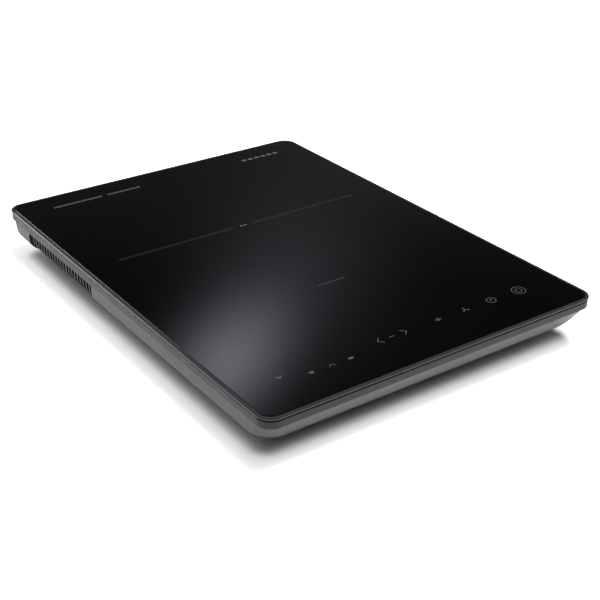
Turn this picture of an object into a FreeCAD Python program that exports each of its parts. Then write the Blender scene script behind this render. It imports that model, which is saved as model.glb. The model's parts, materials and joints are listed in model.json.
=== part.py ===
import FreeCAD, Part
import math
import os

Vector = FreeCAD.Vector
UP = Vector(0, 0, 1)

# Portable induction cooktop with one zone. Millimetres. The origin is under the middle of the cooktop, on
# the surface that its feet stand on. +X is the user's right, +Y is the rear and +Z is up.

# Overall size
WIDTH = 280.0
DEPTH = 386.0
HEIGHT = 38.0
CORNER_RADIUS = 11.5
FOOT_HEIGHT = 7.0

# Glass plate and the frame that holds it
GLASS_THICKNESS = 4.0
GLASS_BEVEL = 0.6
GLASS_GAP = 0.3
ADHESIVE_THICKNESS = 0.6
ADHESIVE_WIDTH = 4.0
ADHESIVE_SETBACK = 0.5
RIM_WIDTH = 2.4
RIM_HEIGHT = 1.4
RIM_DROP = 0.2
RIM_EDGE = 0.4
SHADOW_GAP = 1.0
SHADOW_DEPTH = 1.1
LEDGE_WIDTH = 6.0
LEDGE_THICKNESS = 2.4
LUG_RADIUS = 4.5

# Lower housing: a lip under the frame, then a dish whose sides curve in to a flat floor
WALL = 2.2
FLOOR = 2.2
LIP_HEIGHT = 5.6
LIP_INSET = 0.4
LIP_EDGE = 0.4
REBATE_WIDTH = 0.9
REBATE_DEPTH = 3.4
DISH_INSET = 1.5
DISH_CORNER = 12.0
DISH_CORNER_RATIO = 0.3
SIDE_STRAIGHT = 7.8
SIDE_CURVE = 34.3
FRONT_STRAIGHT = 14.0
FRONT_CURVE = 31.4
FRONT_LEAN = 0.65
REAR_STRAIGHT = 13.8
REAR_CURVE = 20.2
CURVE_TAIL = 0.7
LOFT_DEGREE = 2
DISH_LEVELS = (0.0, 0.17, 0.34, 0.5, 0.64, 0.76, 0.87, 0.95, 1.0)
RIB_WIDTH = 1.6
RIB_HEIGHT = 3.0
RIB_RING = 60.0
RIB_HUB = 14.0

# Screws: those that join frame and housing rise from recesses under the housing
SCREW_RADIUS = 1.5
SCREW_HEAD_RADIUS = 2.8
SCREW_HEAD_HEIGHT = 2.0
PILOT_DEPTH = 3.2
BOSS_RADIUS = 5.0
BOSS_HEIGHT = 15.0
CORNER_BOSS_INSET = 22.5
SIDE_BOSS_INSET = 14.0
SIDE_BOSS_Y = -20.0
SCREW_SEAT = 9.0
SCREW_LENGTH = 12.0

# Clearances, and how far cutters run past a face
FIT = 0.1
LOOSE = 0.3
RUNNING = 0.05
HEAD_ROOM = 0.9
OVERCUT = 1.0

# Side vents
VENT_REAR_INSET = 40.7
VENT_COUNT = 22
VENT_PITCH = 5.0
VENT_WIDTH = 3.4
VENT_LAND = 1.4
VENT_REACH = 20.0
VENT_RECESS = 1.1
VENT_MARGIN = 1.6

# Intake grille in the floor under the fan
GRILLE_RINGS = 5
GRILLE_FIRST = 6.0
GRILLE_PITCH = 6.2
GRILLE_SLOT = 3.0
GRILLE_SPOKES = 6
GRILLE_BAR = 3.0

# Rubber feet
FOOT_RADIUS = 9.0
FOOT_TAPER = 1.2
FOOT_EDGE = 0.8
FOOT_STEM_RADIUS = 3.0
FOOT_BARB = 1.0
FOOT_BARB_HEIGHT = 2.4
FOOT_SIDE_INSET = 44.0
FOOT_FRONT_INSET = 55.0
FOOT_REAR_INSET = 45.0

# Cord gland in the rear wall
GLAND_SIDE_INSET = 48.0
GLAND_BORE = 3.6
GLAND_NECK = 5.4
GLAND_FLANGE = 6.6
GLAND_FLANGE_THICKNESS = 1.6
GLAND_NECK_LENGTH = 9.2
GLAND_NUT_RADIUS = 7.6
GLAND_NUT_THICKNESS = 3.0
GLAND_LAND = 0.8
GLAND_SEAT = 0.4
GLAND_WALL = 1.6

# Coil, its carrier and what lies over it
COIL_FRONT_GAP = 4.7
COIL_REAR_INSET = 50.3
COIL_INNER = 31.0
COIL_PITCH = 4.0
COIL_WIRE = 3.0
COIL_MARGIN = 1.0
CARRIER_RIM = 3.0
CARRIER_HUB = 6.0
CARRIER_THICKNESS = 3.0
CARRIER_ARMS = 8
CARRIER_LUG = 5.0
ARM_WIDTH = 15.0
FERRITE_WIDTH = 11.0
FERRITE_THICKNESS = 5.0
FERRITE_SETBACK = 10.0
MICA_THICKNESS = 0.5
BLANKET_THICKNESS = 3.0
BLANKET_HOLE = 12.0
COIL_POSTS = 3
POST_RADIUS = 4.5
POST_HEIGHT = 6.5
SPRING_WIRE = 0.9
SPRING_TURNS = 3
SPRING_RADIUS = 3.4
PROBE_RADIUS = 3.0
PROBE_HOLDER_RADIUS = 6.5
PROBE_BRIDGE = 9.0

# Fan
FAN_SIZE = 80.0
FAN_THICKNESS = 15.0
FAN_CORNER = 5.0
FAN_FLANGE = 2.6
FAN_LIFT = 2.5
FAN_BORE_MARGIN = 2.0
FAN_DUCT_WALL = 1.6
FAN_HOLE_INSET = 4.25
FAN_SPOKES = 4
FAN_SPOKE_WIDTH = 3.5
FAN_BASE_THICKNESS = 2.0
FAN_HUB = 17.0
FAN_HUB_WALL = 1.4
FAN_BLADES = 7
FAN_TIP_GAP = 1.0
FAN_END_GAP = 0.8
FAN_SHAFT_RADIUS = 1.5
FAN_BEARING_RADIUS = 3.0
FAN_TUBE_RADIUS = 4.2
FAN_MAGNET = 1.8
FAN_AIR_GAP = 0.7
FAN_POLES = 4
FAN_POLE_WIDTH = 4.5
FAN_BOARD_THICKNESS = 1.0
FAN_SIDE_INSET = 66.0
FAN_FRONT_INSET = 105.0
BLADE_THICKNESS = 1.2
BLADE_ROOT_ANGLE = 48.0
BLADE_TIP_ANGLE = 33.0
HOOD_WALL = 1.4
HOOD_SEAT = 3.0
HOOD_PAD = 8.0

# Circuit boards
BOARD_THICKNESS = 1.6
BOARD_STANDOFF = 4.5
BOARD_HOLE_INSET = 4.5
BOARD_DEPTH = 80.0
BOARD_SIDE_INSET = 28.0
BOARD_GAP = 6.0
BOARD_SETBACK = 6.0
STANDOFF_RADIUS = 3.2
FILTER_SIDE_INSET = 54.0
FILTER_REAR_INSET = 45.0
FILTER_LENGTH = 40.0
FILTER_DEPTH = 36.0

# Power parts
COMPONENT_ZONE = 58.0
HEATSINK_DEPTH = 58.0
HEATSINK_BASE = 3.0
HEATSINK_FINS = 10
FIN_THICKNESS = 1.5
HEATSINK_LEG = 2.5
DEVICE_THICKNESS = 4.8
DEVICE_SCREW_BITE = 2.6
IGBT_SIZE = (16.0, 21.0)
RECTIFIER_SIZE = (30.0, 20.0)
RESONANT_CAPACITOR = (44.0, 15.0, 17.0)
BUS_CAPACITOR = (44.0, 13.0, 16.0)
FILM_CAPACITOR_GAP = 2.0
CASE_EDGE = 1.0
STANDBY_TRANSFORMER = (20.0, 18.0, 15.0)
TRANSFORMER_BOBBIN = 12.0
TRANSFORMER_LIFT = 2.0
STORAGE_CAPACITOR = (4.0, 14.0)
PART_GAP = 2.0
CONNECTOR = (10.0, 5.5, 6.0)
FAN_SOCKET_INSET = 14.0
MAINS_SOCKET_INSET = 14.0
PROBE_SOCKET_INSET = 42.0
CONTROL_SOCKET_INSET = 14.0
STUD_RADIUS = 3.5
STUD_HEIGHT = 7.0
STUD_SPACING = 18.0
LUG_THICKNESS = 1.0
MAINS_TERMINAL = (13.0, 9.0, 11.0)
TERMINAL_WAYS = 3
TERMINAL_HOLE = 1.3
INTERFERENCE_CAPACITOR = (10.0, 18.0, 16.0)
CHOKE_INNER = 5.5
CHOKE_OUTER = 9.5
CHOKE_HEIGHT = 8.0
CHOKE_WIRE = 1.3
FUSE_RADIUS = 2.4
FUSE_LENGTH = 20.0
LITZ_RADIUS = 1.4
NOTCH_START = 8.0
NOTCH_LENGTH = 26.0
MAINS_LEAD_RADIUS = 1.6
THIN_LEAD_RADIUS = 0.9

# Touch controls
CONTROL_FRONT_INSET = 36.5
CONTROL_SIDE_INSET = 31.5
CONTROL_DEPTH = 30.0
CONTROL_DROP = 11.0
CONTROL_MARGIN = 1.5
TRAY_THICKNESS = 2.0
TRAY_PAD = 2.0
TRAY_SCREW_INSET = 14.5
LEFT_TOUCH_INSET = 3.6
MIDDLE_TOUCHES = (-25.0, -3.9)
RIGHT_TOUCH_INSETS = (82.8, 58.5, 34.0, 7.7)
LIGHT_INSETS = (24.0, 39.5, 54.7)
TOUCH_FRONT_INSET = 37.5
TOUCH_RADIUS = 3.2
LIGHT_RADIUS = 1.5
LIGHT_HEIGHT = 5.0
DISPLAY_SIZE = (26.0, 8.5, 8.0)
CHIP_SIZE = (12.0, 12.0, 1.6)
BUZZER_RADIUS = 5.5
BUZZER_HEIGHT = 6.0
BUZZER_HOLE = 1.0
RIBBON_WIDTH = 9.0
RIBBON_THICKNESS = 0.9

# Heights and places that follow from the sizes above
GLASS_BOTTOM = HEIGHT - GLASS_THICKNESS
LEDGE_TOP = GLASS_BOTTOM - ADHESIVE_THICKNESS
LEDGE_BOTTOM = LEDGE_TOP - LEDGE_THICKNESS
RIM_TOP = HEIGHT - RIM_DROP
RIM_BOTTOM = RIM_TOP - RIM_HEIGHT
LIP_TOP = RIM_BOTTOM - SHADOW_GAP
LIP_BOTTOM = LIP_TOP - LIP_HEIGHT
DISH_DEPTH = LIP_BOTTOM - FOOT_HEIGHT
FLOOR_TOP = FOOT_HEIGHT + FLOOR
BOSS_TOP = FOOT_HEIGHT + BOSS_HEIGHT
GLASS_INSET = RIM_WIDTH + GLASS_GAP
LEDGE_INSET = GLASS_INSET + LEDGE_WIDTH
BOARD_BOTTOM = FLOOR_TOP + BOARD_STANDOFF
BOARD_TOP = BOARD_BOTTOM + BOARD_THICKNESS
TOP_LIMIT = GLASS_BOTTOM - HEAD_ROOM
COIL_TOP = GLASS_BOTTOM - BLANKET_THICKNESS - MICA_THICKNESS
CARRIER_TOP = COIL_TOP - COIL_WIRE
CARRIER_BOTTOM = CARRIER_TOP - CARRIER_THICKNESS
FAN_BORE = FAN_SIZE / 2 - FAN_BORE_MARGIN
FAN_HOLE_PITCH = FAN_SIZE - 2 * FAN_HOLE_INSET
FAN_X = WIDTH / 2 - FAN_SIDE_INSET
FAN_Y = FAN_FRONT_INSET - DEPTH / 2
FAN_REAR = FAN_Y + FAN_SIZE / 2
FAN_BOTTOM = FLOOR_TOP + FAN_LIFT
FAN_TOP = FAN_BOTTOM + FAN_THICKNESS
CARRIER_FRONT = FAN_REAR + COIL_FRONT_GAP
CARRIER_REAR = DEPTH / 2 - COIL_REAR_INSET
COIL_Y = (CARRIER_FRONT + CARRIER_REAR) / 2
CARRIER_RADIUS = (CARRIER_REAR - CARRIER_FRONT) / 2
COIL_OUTER = CARRIER_RADIUS - CARRIER_RIM - COIL_MARGIN
COIL_TURNS = int((COIL_OUTER - COIL_INNER) / COIL_PITCH)
FERRITE_LENGTH = COIL_OUTER - COIL_INNER - FERRITE_SETBACK
POST_CIRCLE = CARRIER_RADIUS + SCREW_HEAD_RADIUS
POST_TOP = FLOOR_TOP + POST_HEIGHT
BOARD_LEFT = BOARD_SIDE_INSET - WIDTH / 2
BOARD_RIGHT = FAN_X - FAN_SIZE / 2 - BOARD_GAP
BOARD_REAR = FAN_REAR - BOARD_SETBACK
BOARD_FRONT = BOARD_REAR - BOARD_DEPTH
ZONE_X = BOARD_LEFT + COMPONENT_ZONE / 2
SINK_LEFT = BOARD_LEFT + COMPONENT_ZONE
SINK_RIGHT = BOARD_RIGHT - BOARD_GAP
SINK_Y = (BOARD_FRONT + BOARD_REAR) / 2
SINK_BOTTOM = BOARD_TOP + DEVICE_THICKNESS
FILTER_X = WIDTH / 2 - FILTER_SIDE_INSET
FILTER_Y = DEPTH / 2 - FILTER_REAR_INSET
CONTROL_LENGTH = WIDTH - 2 * CONTROL_SIDE_INSET
CONTROL_Y = CONTROL_FRONT_INSET - DEPTH / 2
CONTROL_TOP = GLASS_BOTTOM - CONTROL_DROP
CONTROL_BOTTOM = CONTROL_TOP - BOARD_THICKNESS
TRAY_BOTTOM = CONTROL_BOTTOM - TRAY_PAD - TRAY_THICKNESS
TOUCH_Y = TOUCH_FRONT_INSET - DEPTH / 2
TOUCH_PLACES = (
    LEFT_TOUCH_INSET - CONTROL_LENGTH / 2,
    *MIDDLE_TOUCHES,
    *[CONTROL_LENGTH / 2 - inset for inset in RIGHT_TOUCH_INSETS],
)
VENT_FRONT = DEPTH / 2 - VENT_REAR_INSET - VENT_WIDTH - (VENT_COUNT - 1) * VENT_PITCH
GLAND_X = WIDTH / 2 - GLAND_SIDE_INSET
GLAND_Z = LIP_BOTTOM - GLAND_LAND - GLAND_FLANGE
GLAND_FACE = DEPTH / 2 - DISH_INSET - GLAND_SEAT


# ---- helpers ----

def block(x, y, base, length_x, length_y, height):
    """Box whose base is centred on x, y."""
    corner = Vector(x - length_x / 2, y - length_y / 2, base)
    return Part.makeBox(length_x, length_y, height, corner)


def rod(x, y, base, radius, height):
    return Part.makeCylinder(radius, height, Vector(x, y, base))


def tube(x, y, base, outer, inner, height):
    return rod(x, y, base, outer, height).cut(rod(x, y, base, inner, height))


def join(shapes):
    """One solid from touching or overlapping shapes."""
    return shapes[0].fuse(shapes[1:]).removeSplitter()


def group(shapes):
    """Separate solids kept in one node."""
    return Part.makeCompound(shapes)


def turned(shape, degrees):
    """Copy turned about the vertical through the origin."""
    copy = shape.copy()
    copy.rotate(Vector(0, 0, 0), UP, degrees)
    return copy


def moved(shape, x, y, z=0.0):
    copy = shape.copy()
    copy.translate(Vector(x, y, z))
    return copy


def ring_places(count, radius, first, x, y):
    """Points spaced evenly on a circle about x, y."""
    places = []
    for step in range(count):
        angle = math.radians(first + 360 / count * step)
        places.append((x + radius * math.cos(angle), y + radius * math.sin(angle)))
    return places


def square_places(x, y, half_x, half_y):
    return [(x + sx * half_x, y + sy * half_y) for sx in (-1, 1) for sy in (-1, 1)]


def round_loop(left, right, front, rear, radius, z):
    """Rectangle with rounded corners as one closed wire."""
    centres = (
        (right - radius, rear - radius),
        (left + radius, rear - radius),
        (left + radius, front + radius),
        (right - radius, front + radius),
    )
    arcs = []
    for quarter, (x, y) in enumerate(centres):
        points = []
        for step in (0, 45, 90):
            angle = math.radians(90 * quarter + step)
            points.append(Vector(x + radius * math.cos(angle), y + radius * math.sin(angle), z))
        arcs.append(points)
    edges = []
    for points, following in zip(arcs, arcs[1:] + arcs[:1]):
        edges.append(Part.Arc(*points).toShape())
        edges.append(Part.makeLine(points[2], following[0]))
    return Part.Wire(edges)


def inset_loop(side, front, rear, radius, z):
    """Outline of the cooktop, drawn in by a distance on each side."""
    return round_loop(side - WIDTH / 2, WIDTH / 2 - side, front - DEPTH / 2, DEPTH / 2 - rear, radius, z)


def plate(inset, low, high):
    """Slab with the cooktop's outline, drawn in evenly all round."""
    loop = inset_loop(inset, inset, inset, CORNER_RADIUS - inset, low)
    return Part.Face(loop).extrude(Vector(0, 0, high - low))


def pad(x, y, base, length_x, length_y, height, radius):
    """Box with rounded upright edges."""
    loop = round_loop(x - length_x / 2, x + length_x / 2, y - length_y / 2, y + length_y / 2, radius, base)
    return Part.Face(loop).extrude(Vector(0, 0, height))


def level_edges(shape, height):
    """Edges of a shape that lie flat at a height."""
    return [e for e in shape.Edges if abs(e.BoundBox.ZMin - height) + abs(e.BoundBox.ZMax - height) < 0.01]


def profile_ring(points):
    """Closed section of (inset, height) points swept round the cooktop's outline."""
    path = inset_loop(0, 0, 0, CORNER_RADIUS, 0)
    start_y = DEPTH / 2 - CORNER_RADIUS
    section = [Vector(WIDTH / 2 - inset, start_y, z) for inset, z in points]
    return path.makePipeShell([Part.makePolygon(section + section[:1])], True, True)


def revolved(points, x, y):
    """Closed (radius, height) section turned about the vertical through x, y."""
    section = [Vector(x + radius, y, z) for radius, z in points]
    face = Part.Face(Part.makePolygon(section + section[:1]))
    return face.revolve(Vector(x, y, 0), UP, 360)


def screw(x, y, seat, length, head_below=False):
    """Pan-head screw. The head sits on the seat and the shank goes the other way."""
    way = -1 if head_below else 1
    section = [
        (0, seat - way * length),
        (SCREW_RADIUS, seat - way * length),
        (SCREW_RADIUS, seat),
        (SCREW_HEAD_RADIUS, seat),
        (SCREW_HEAD_RADIUS, seat + way * SCREW_HEAD_HEIGHT),
        (0, seat + way * SCREW_HEAD_HEIGHT),
    ]
    return revolved(section, x, y)


def swept_path(points):
    """Straight runs joined by arcs, each as large as its two runs allow."""
    edges = []
    start = points[0]
    for before, corner, after in zip(points, points[1:], points[2:]):
        back = (before - corner).normalize()
        ahead = (after - corner).normalize()
        turn = math.pi - back.getAngle(ahead)
        reach = 0.45 * min((before - corner).Length, (after - corner).Length)
        bend = reach / math.tan(turn / 2)
        print("lead bend radius %.1f mm" % bend)
        first = corner + back * reach
        last = corner + ahead * reach
        inward = (back + ahead).normalize()
        middle = corner + inward * (bend / math.cos(turn / 2) - bend)
        edges.append(Part.makeLine(start, first))
        edges.append(Part.Arc(first, middle, last).toShape())
        start = last
    edges.append(Part.makeLine(start, points[-1]))
    return Part.Wire(edges)


def cord(places, radius):
    """Round lead along a list of points."""
    points = [Vector(*place) for place in places]
    section = Part.Wire(Part.makeCircle(radius, points[0], points[1] - points[0]))
    return swept_path(points).makePipeShell([section], True, True)


# ---- places that more than one piece shares ----

def boss_places():
    """Screws that join the frame to the housing: four corners and the middle of each side."""
    corners = square_places(0, 0, WIDTH / 2 - CORNER_BOSS_INSET, DEPTH / 2 - CORNER_BOSS_INSET)
    side_x = WIDTH / 2 - SIDE_BOSS_INSET
    return corners + [(-side_x, SIDE_BOSS_Y), (side_x, SIDE_BOSS_Y)]


def foot_places():
    x = WIDTH / 2 - FOOT_SIDE_INSET
    front = FOOT_FRONT_INSET - DEPTH / 2
    rear = DEPTH / 2 - FOOT_REAR_INSET
    return [(-x, front), (x, front), (-x, rear), (x, rear)]


def post_places():
    return ring_places(COIL_POSTS, POST_CIRCLE, 90, 0, COIL_Y)


def fan_hole_places():
    return square_places(FAN_X, FAN_Y, FAN_HOLE_PITCH / 2, FAN_HOLE_PITCH / 2)


def power_hole_places():
    x = (BOARD_LEFT + BOARD_RIGHT) / 2
    half_x = (BOARD_RIGHT - BOARD_LEFT) / 2 - BOARD_HOLE_INSET
    return square_places(x, SINK_Y, half_x, BOARD_DEPTH / 2 - BOARD_HOLE_INSET)


def filter_hole_places():
    half_x = FILTER_LENGTH / 2 - BOARD_HOLE_INSET
    return square_places(FILTER_X, FILTER_Y, half_x, FILTER_DEPTH / 2 - BOARD_HOLE_INSET)


def tray_places():
    half_x = CONTROL_LENGTH / 2 - TRAY_SCREW_INSET
    return square_places(0, CONTROL_Y, half_x, CONTROL_DEPTH / 2 - BOARD_HOLE_INSET)


def device_places():
    """Middles of the transistor and the rectifier under the heatsink."""
    step = (SINK_RIGHT - SINK_LEFT) / 4
    return [(SINK_LEFT + step, SINK_Y), (SINK_RIGHT - step, SINK_Y)]


def connector_places():
    """Plug sockets on the three boards, each by the edge that its lead comes from."""
    front = BOARD_FRONT + CONNECTOR[1]
    rear = BOARD_REAR - CONNECTOR[1] / 2 - FIT
    control_x = SINK_LEFT + CONTROL_SOCKET_INSET
    return {
        "fan": (BOARD_RIGHT - FAN_SOCKET_INSET, front, BOARD_TOP),
        "control": (control_x, front, BOARD_TOP),
        "probe": (SINK_RIGHT - PROBE_SOCKET_INSET, rear, BOARD_TOP),
        "mains": (SINK_RIGHT - MAINS_SOCKET_INSET, rear, BOARD_TOP),
        "filter": (FILTER_X, FILTER_Y - FILTER_DEPTH / 2 + CONNECTOR[1] / 2 + FIT, BOARD_TOP),
        "touch": (control_x, CONTROL_Y + CONTROL_DEPTH / 2 - CONNECTOR[1] / 2 - FIT, CONTROL_TOP),
    }


def socket_face(name, way):
    """Middle of a socket's face towards the rear (1) or the front (-1)."""
    x, y, base = connector_places()[name]
    return x, y + way * CONNECTOR[1] / 2, base + CONNECTOR[2] / 2


def stud_places():
    """Posts on the power board where the coil leads end."""
    y = BOARD_REAR - STUD_RADIUS - PART_GAP
    return [(ZONE_X - STUD_SPACING / 2, y), (ZONE_X + STUD_SPACING / 2, y)]


# ---- lower housing ----

def curve_inset(depth, straight, reach):
    """How far a side of the dish has come in at a depth: straight first, then a quarter of an ellipse."""
    full = DISH_DEPTH + CURVE_TAIL
    share = max(0.0, (depth - straight) / (full - straight))
    return DISH_INSET + reach * (1 - math.sqrt(1 - share * share))


def dish(wall, floor):
    """The dish under the lip or, with a wall and a floor, the hollow inside it."""
    loops = []
    for level in DISH_LEVELS:
        depth = level * DISH_DEPTH
        side = curve_inset(depth, SIDE_STRAIGHT, SIDE_CURVE) + wall
        front = curve_inset(depth, FRONT_STRAIGHT, FRONT_CURVE) + FRONT_LEAN * depth + wall
        rear = curve_inset(depth, REAR_STRAIGHT, REAR_CURVE) + wall
        radius = DISH_CORNER + DISH_CORNER_RATIO * depth - wall
        loops.append(inset_loop(side, front, rear, radius, LIP_BOTTOM - level * (DISH_DEPTH - floor)))
    return Part.makeLoft(loops, True, False, False, LOFT_DEGREE)


def lip_band():
    """The upright band at the top of the housing, with its edges broken and a rebate for the frame."""
    band = plate(LIP_INSET, LIP_BOTTOM, LIP_TOP)
    band = band.makeChamfer(LIP_EDGE, level_edges(band, LIP_TOP) + level_edges(band, LIP_BOTTOM))
    return band.cut(plate(LIP_INSET + REBATE_WIDTH, LIP_TOP - REBATE_DEPTH, LIP_TOP))


def grille_cutter():
    """Rings of slots in the floor under the fan, broken by spokes."""
    base = FOOT_HEIGHT - OVERCUT
    height = FLOOR + 2 * OVERCUT
    rings = []
    for count in range(GRILLE_RINGS):
        inner = GRILLE_FIRST + count * GRILLE_PITCH
        rings.append(tube(0, 0, base, inner + GRILLE_SLOT, inner, height))
    bars = []
    for count in range(GRILLE_SPOKES):
        bar = Part.makeBox(FAN_BORE, GRILLE_BAR, height, Vector(0, -GRILLE_BAR / 2, base))
        bars.append(turned(bar, 360 / GRILLE_SPOKES * count))
    return moved(group(rings).cut(bars), FAN_X, FAN_Y)


def vent_cutter():
    """Upright slots through the left side, from under the lip round the curve to the floor."""
    slots = []
    height = LIP_BOTTOM - VENT_LAND - FLOOR_TOP
    for count in range(VENT_COUNT):
        corner = Vector(-WIDTH / 2, VENT_FRONT + count * VENT_PITCH, FLOOR_TOP)
        slots.append(Part.makeBox(VENT_REACH, VENT_WIDTH, height, corner))
    return group(slots)


def vent_recess():
    """The shallow field that the slots stand in: the outer layer of the left wall."""
    length = (VENT_COUNT - 1) * VENT_PITCH + VENT_WIDTH + 2 * VENT_MARGIN
    base = FLOOR_TOP + VENT_MARGIN
    corner = Vector(-WIDTH / 2, VENT_FRONT - VENT_MARGIN, base)
    field = Part.makeBox(VENT_REACH, length, LIP_BOTTOM - VENT_LAND - base, corner)
    return field.cut(dish(VENT_RECESS, VENT_RECESS))


def floor_ribs():
    """Stiffening web on the floor under the coil: a ring, with bars out to the coil posts and between."""
    web = [tube(0, COIL_Y, FLOOR_TOP, RIB_RING, RIB_RING - RIB_WIDTH, RIB_HEIGHT)]
    length = POST_CIRCLE - RIB_HUB
    for count in range(2 * COIL_POSTS):
        bar = Part.makeBox(length, RIB_WIDTH, RIB_HEIGHT, Vector(RIB_HUB, -RIB_WIDTH / 2, FLOOR_TOP))
        web.append(moved(turned(bar, 90 + 180 / COIL_POSTS * count), 0, COIL_Y))
    return web


def housing_posts(body):
    """Everything that rises from the floor, trimmed to the outside of the dish."""
    posts = []
    for x, y in boss_places():
        posts.append(rod(x, y, FOOT_HEIGHT, BOSS_RADIUS, BOSS_HEIGHT).common(body))
    for x, y in fan_hole_places():
        posts.append(rod(x, y, FOOT_HEIGHT, STANDOFF_RADIUS, FAN_BOTTOM - FOOT_HEIGHT).common(body))
    for x, y in tray_places():
        posts.append(rod(x, y, FOOT_HEIGHT, STANDOFF_RADIUS, TRAY_BOTTOM - FOOT_HEIGHT).common(body))
    for x, y in power_hole_places() + filter_hole_places():
        posts.append(rod(x, y, FOOT_HEIGHT, STANDOFF_RADIUS, BOARD_BOTTOM - FOOT_HEIGHT).common(body))
    for x, y in post_places():
        posts.append(rod(x, y, FOOT_HEIGHT, POST_RADIUS, POST_TOP - FOOT_HEIGHT).common(body))
    return posts


def housing_holes():
    holes = [vent_recess(), vent_cutter(), grille_cutter()]
    for x, y in boss_places():
        holes.append(rod(x, y, FOOT_HEIGHT, SCREW_RADIUS + LOOSE, BOSS_HEIGHT))
        holes.append(rod(x, y, FOOT_HEIGHT, SCREW_HEAD_RADIUS + LOOSE, SCREW_SEAT))
    tops = [(place, FAN_BOTTOM) for place in fan_hole_places()]
    tops += [(place, TRAY_BOTTOM) for place in tray_places()]
    tops += [(place, BOARD_BOTTOM) for place in power_hole_places() + filter_hole_places()]
    tops += [(place, POST_TOP) for place in post_places()]
    for (x, y), top in tops:
        holes.append(rod(x, y, top - PILOT_DEPTH, SCREW_RADIUS, PILOT_DEPTH))
    for x, y in foot_places():
        holes.append(rod(x, y, FOOT_HEIGHT, FOOT_STEM_RADIUS + FIT, FLOOR))
    holes.append(along_rear(rod(0, 0, -2 * WALL, GLAND_NECK + FIT, 3 * WALL)))
    holes.append(along_rear(rod(0, 0, 0, GLAND_FLANGE + FIT, WALL)))
    holes.append(along_rear(rod(0, 0, -3 * WALL, GLAND_NUT_RADIUS + FIT, 3 * WALL - GLAND_WALL)))
    return holes


def lower_housing():
    body = dish(0, 0)
    cavity = plate(LIP_INSET + WALL, LIP_BOTTOM, LIP_TOP)
    shell = join([lip_band(), body]).cut([cavity, dish(WALL, FLOOR)])
    return join([shell] + housing_posts(body) + floor_ribs()).cut(housing_holes())


# ---- frame and glass ----

def top_frame():
    """Rim round the glass with a ledge under it, and lugs that the housing's screws turn into."""
    foot_inset = LIP_INSET + WALL + LOOSE
    tongue_inset = LIP_INSET + REBATE_WIDTH + FIT
    rebate = LIP_TOP - REBATE_DEPTH + FIT
    section = [
        (0, RIM_BOTTOM),
        (0, RIM_TOP - RIM_EDGE),
        (RIM_EDGE, RIM_TOP),
        (RIM_WIDTH, RIM_TOP),
        (RIM_WIDTH, LEDGE_TOP),
        (LEDGE_INSET, LEDGE_TOP),
        (LEDGE_INSET, LEDGE_BOTTOM),
        (foot_inset, LEDGE_BOTTOM),
        (foot_inset, rebate),
        (tongue_inset, rebate),
        (tongue_inset, LIP_TOP),
        (SHADOW_DEPTH, LIP_TOP),
        (SHADOW_DEPTH, RIM_BOTTOM),
    ]
    pieces = [profile_ring(section)]
    for x, y in boss_places():
        pieces.append(rod(x, y, BOSS_TOP, LUG_RADIUS, LEDGE_TOP - BOSS_TOP))
        pieces.append(frame_lug(x, y))
    pilots = [rod(x, y, BOSS_TOP, SCREW_RADIUS, LEDGE_BOTTOM - BOSS_TOP) for x, y in boss_places()]
    return join(pieces).cut(pilots)


def frame_lug(x, y):
    """Flat tab that carries a screw post in from the ledge."""
    outer_x = math.copysign(WIDTH / 2 - LEDGE_INSET + 1, x)
    tab_x = (x + outer_x) / 2
    tab_length = abs(outer_x - x) + LUG_RADIUS
    tab_x -= math.copysign(LUG_RADIUS / 2, x)
    if abs(y) < DEPTH / 2 - 2 * CORNER_BOSS_INSET:
        return block(tab_x, y, LEDGE_BOTTOM, tab_length, 2 * LUG_RADIUS, LEDGE_THICKNESS)
    outer_y = math.copysign(DEPTH / 2 - LEDGE_INSET + 1, y)
    tab_y = (y + outer_y) / 2 - math.copysign(LUG_RADIUS / 2, y)
    tab_depth = abs(outer_y - y) + LUG_RADIUS
    return pad(tab_x, tab_y, LEDGE_BOTTOM, tab_length, tab_depth, LEDGE_THICKNESS, LUG_RADIUS / 2)


def glass_plate():
    glass = plate(GLASS_INSET, GLASS_BOTTOM, HEIGHT)
    return glass.makeChamfer(GLASS_BEVEL, level_edges(glass, HEIGHT))


def glass_adhesive():
    outer = GLASS_INSET + ADHESIVE_SETBACK
    bead = plate(outer, LEDGE_TOP, GLASS_BOTTOM)
    return bead.cut(plate(outer + ADHESIVE_WIDTH, LEDGE_TOP, GLASS_BOTTOM))


def rubber_feet():
    """Tapered feet, each with a barbed stem pushed up through the floor."""
    section = [
        (0, 0),
        (FOOT_RADIUS - FOOT_TAPER - FOOT_EDGE, 0),
        (FOOT_RADIUS - FOOT_TAPER, FOOT_EDGE),
        (FOOT_RADIUS, FOOT_HEIGHT),
        (FOOT_STEM_RADIUS, FOOT_HEIGHT),
        (FOOT_STEM_RADIUS, FLOOR_TOP),
        (FOOT_STEM_RADIUS + FOOT_BARB, FLOOR_TOP),
        (FOOT_STEM_RADIUS, FLOOR_TOP + FOOT_BARB_HEIGHT),
        (0, FLOOR_TOP + FOOT_BARB_HEIGHT),
    ]
    return group([revolved(section, x, y) for x, y in foot_places()])


def housing_screws():
    seat = FOOT_HEIGHT + SCREW_SEAT
    return group([screw(x, y, seat, SCREW_LENGTH, head_below=True) for x, y in boss_places()])


def along_rear(shape):
    """Stands a piece made about the vertical on the rear wall, pointing outwards, at the gland's place."""
    copy = shape.copy()
    copy.rotate(Vector(0, 0, 0), Vector(1, 0, 0), -90)
    return moved(copy, GLAND_X, GLAND_FACE, GLAND_Z)


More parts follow.
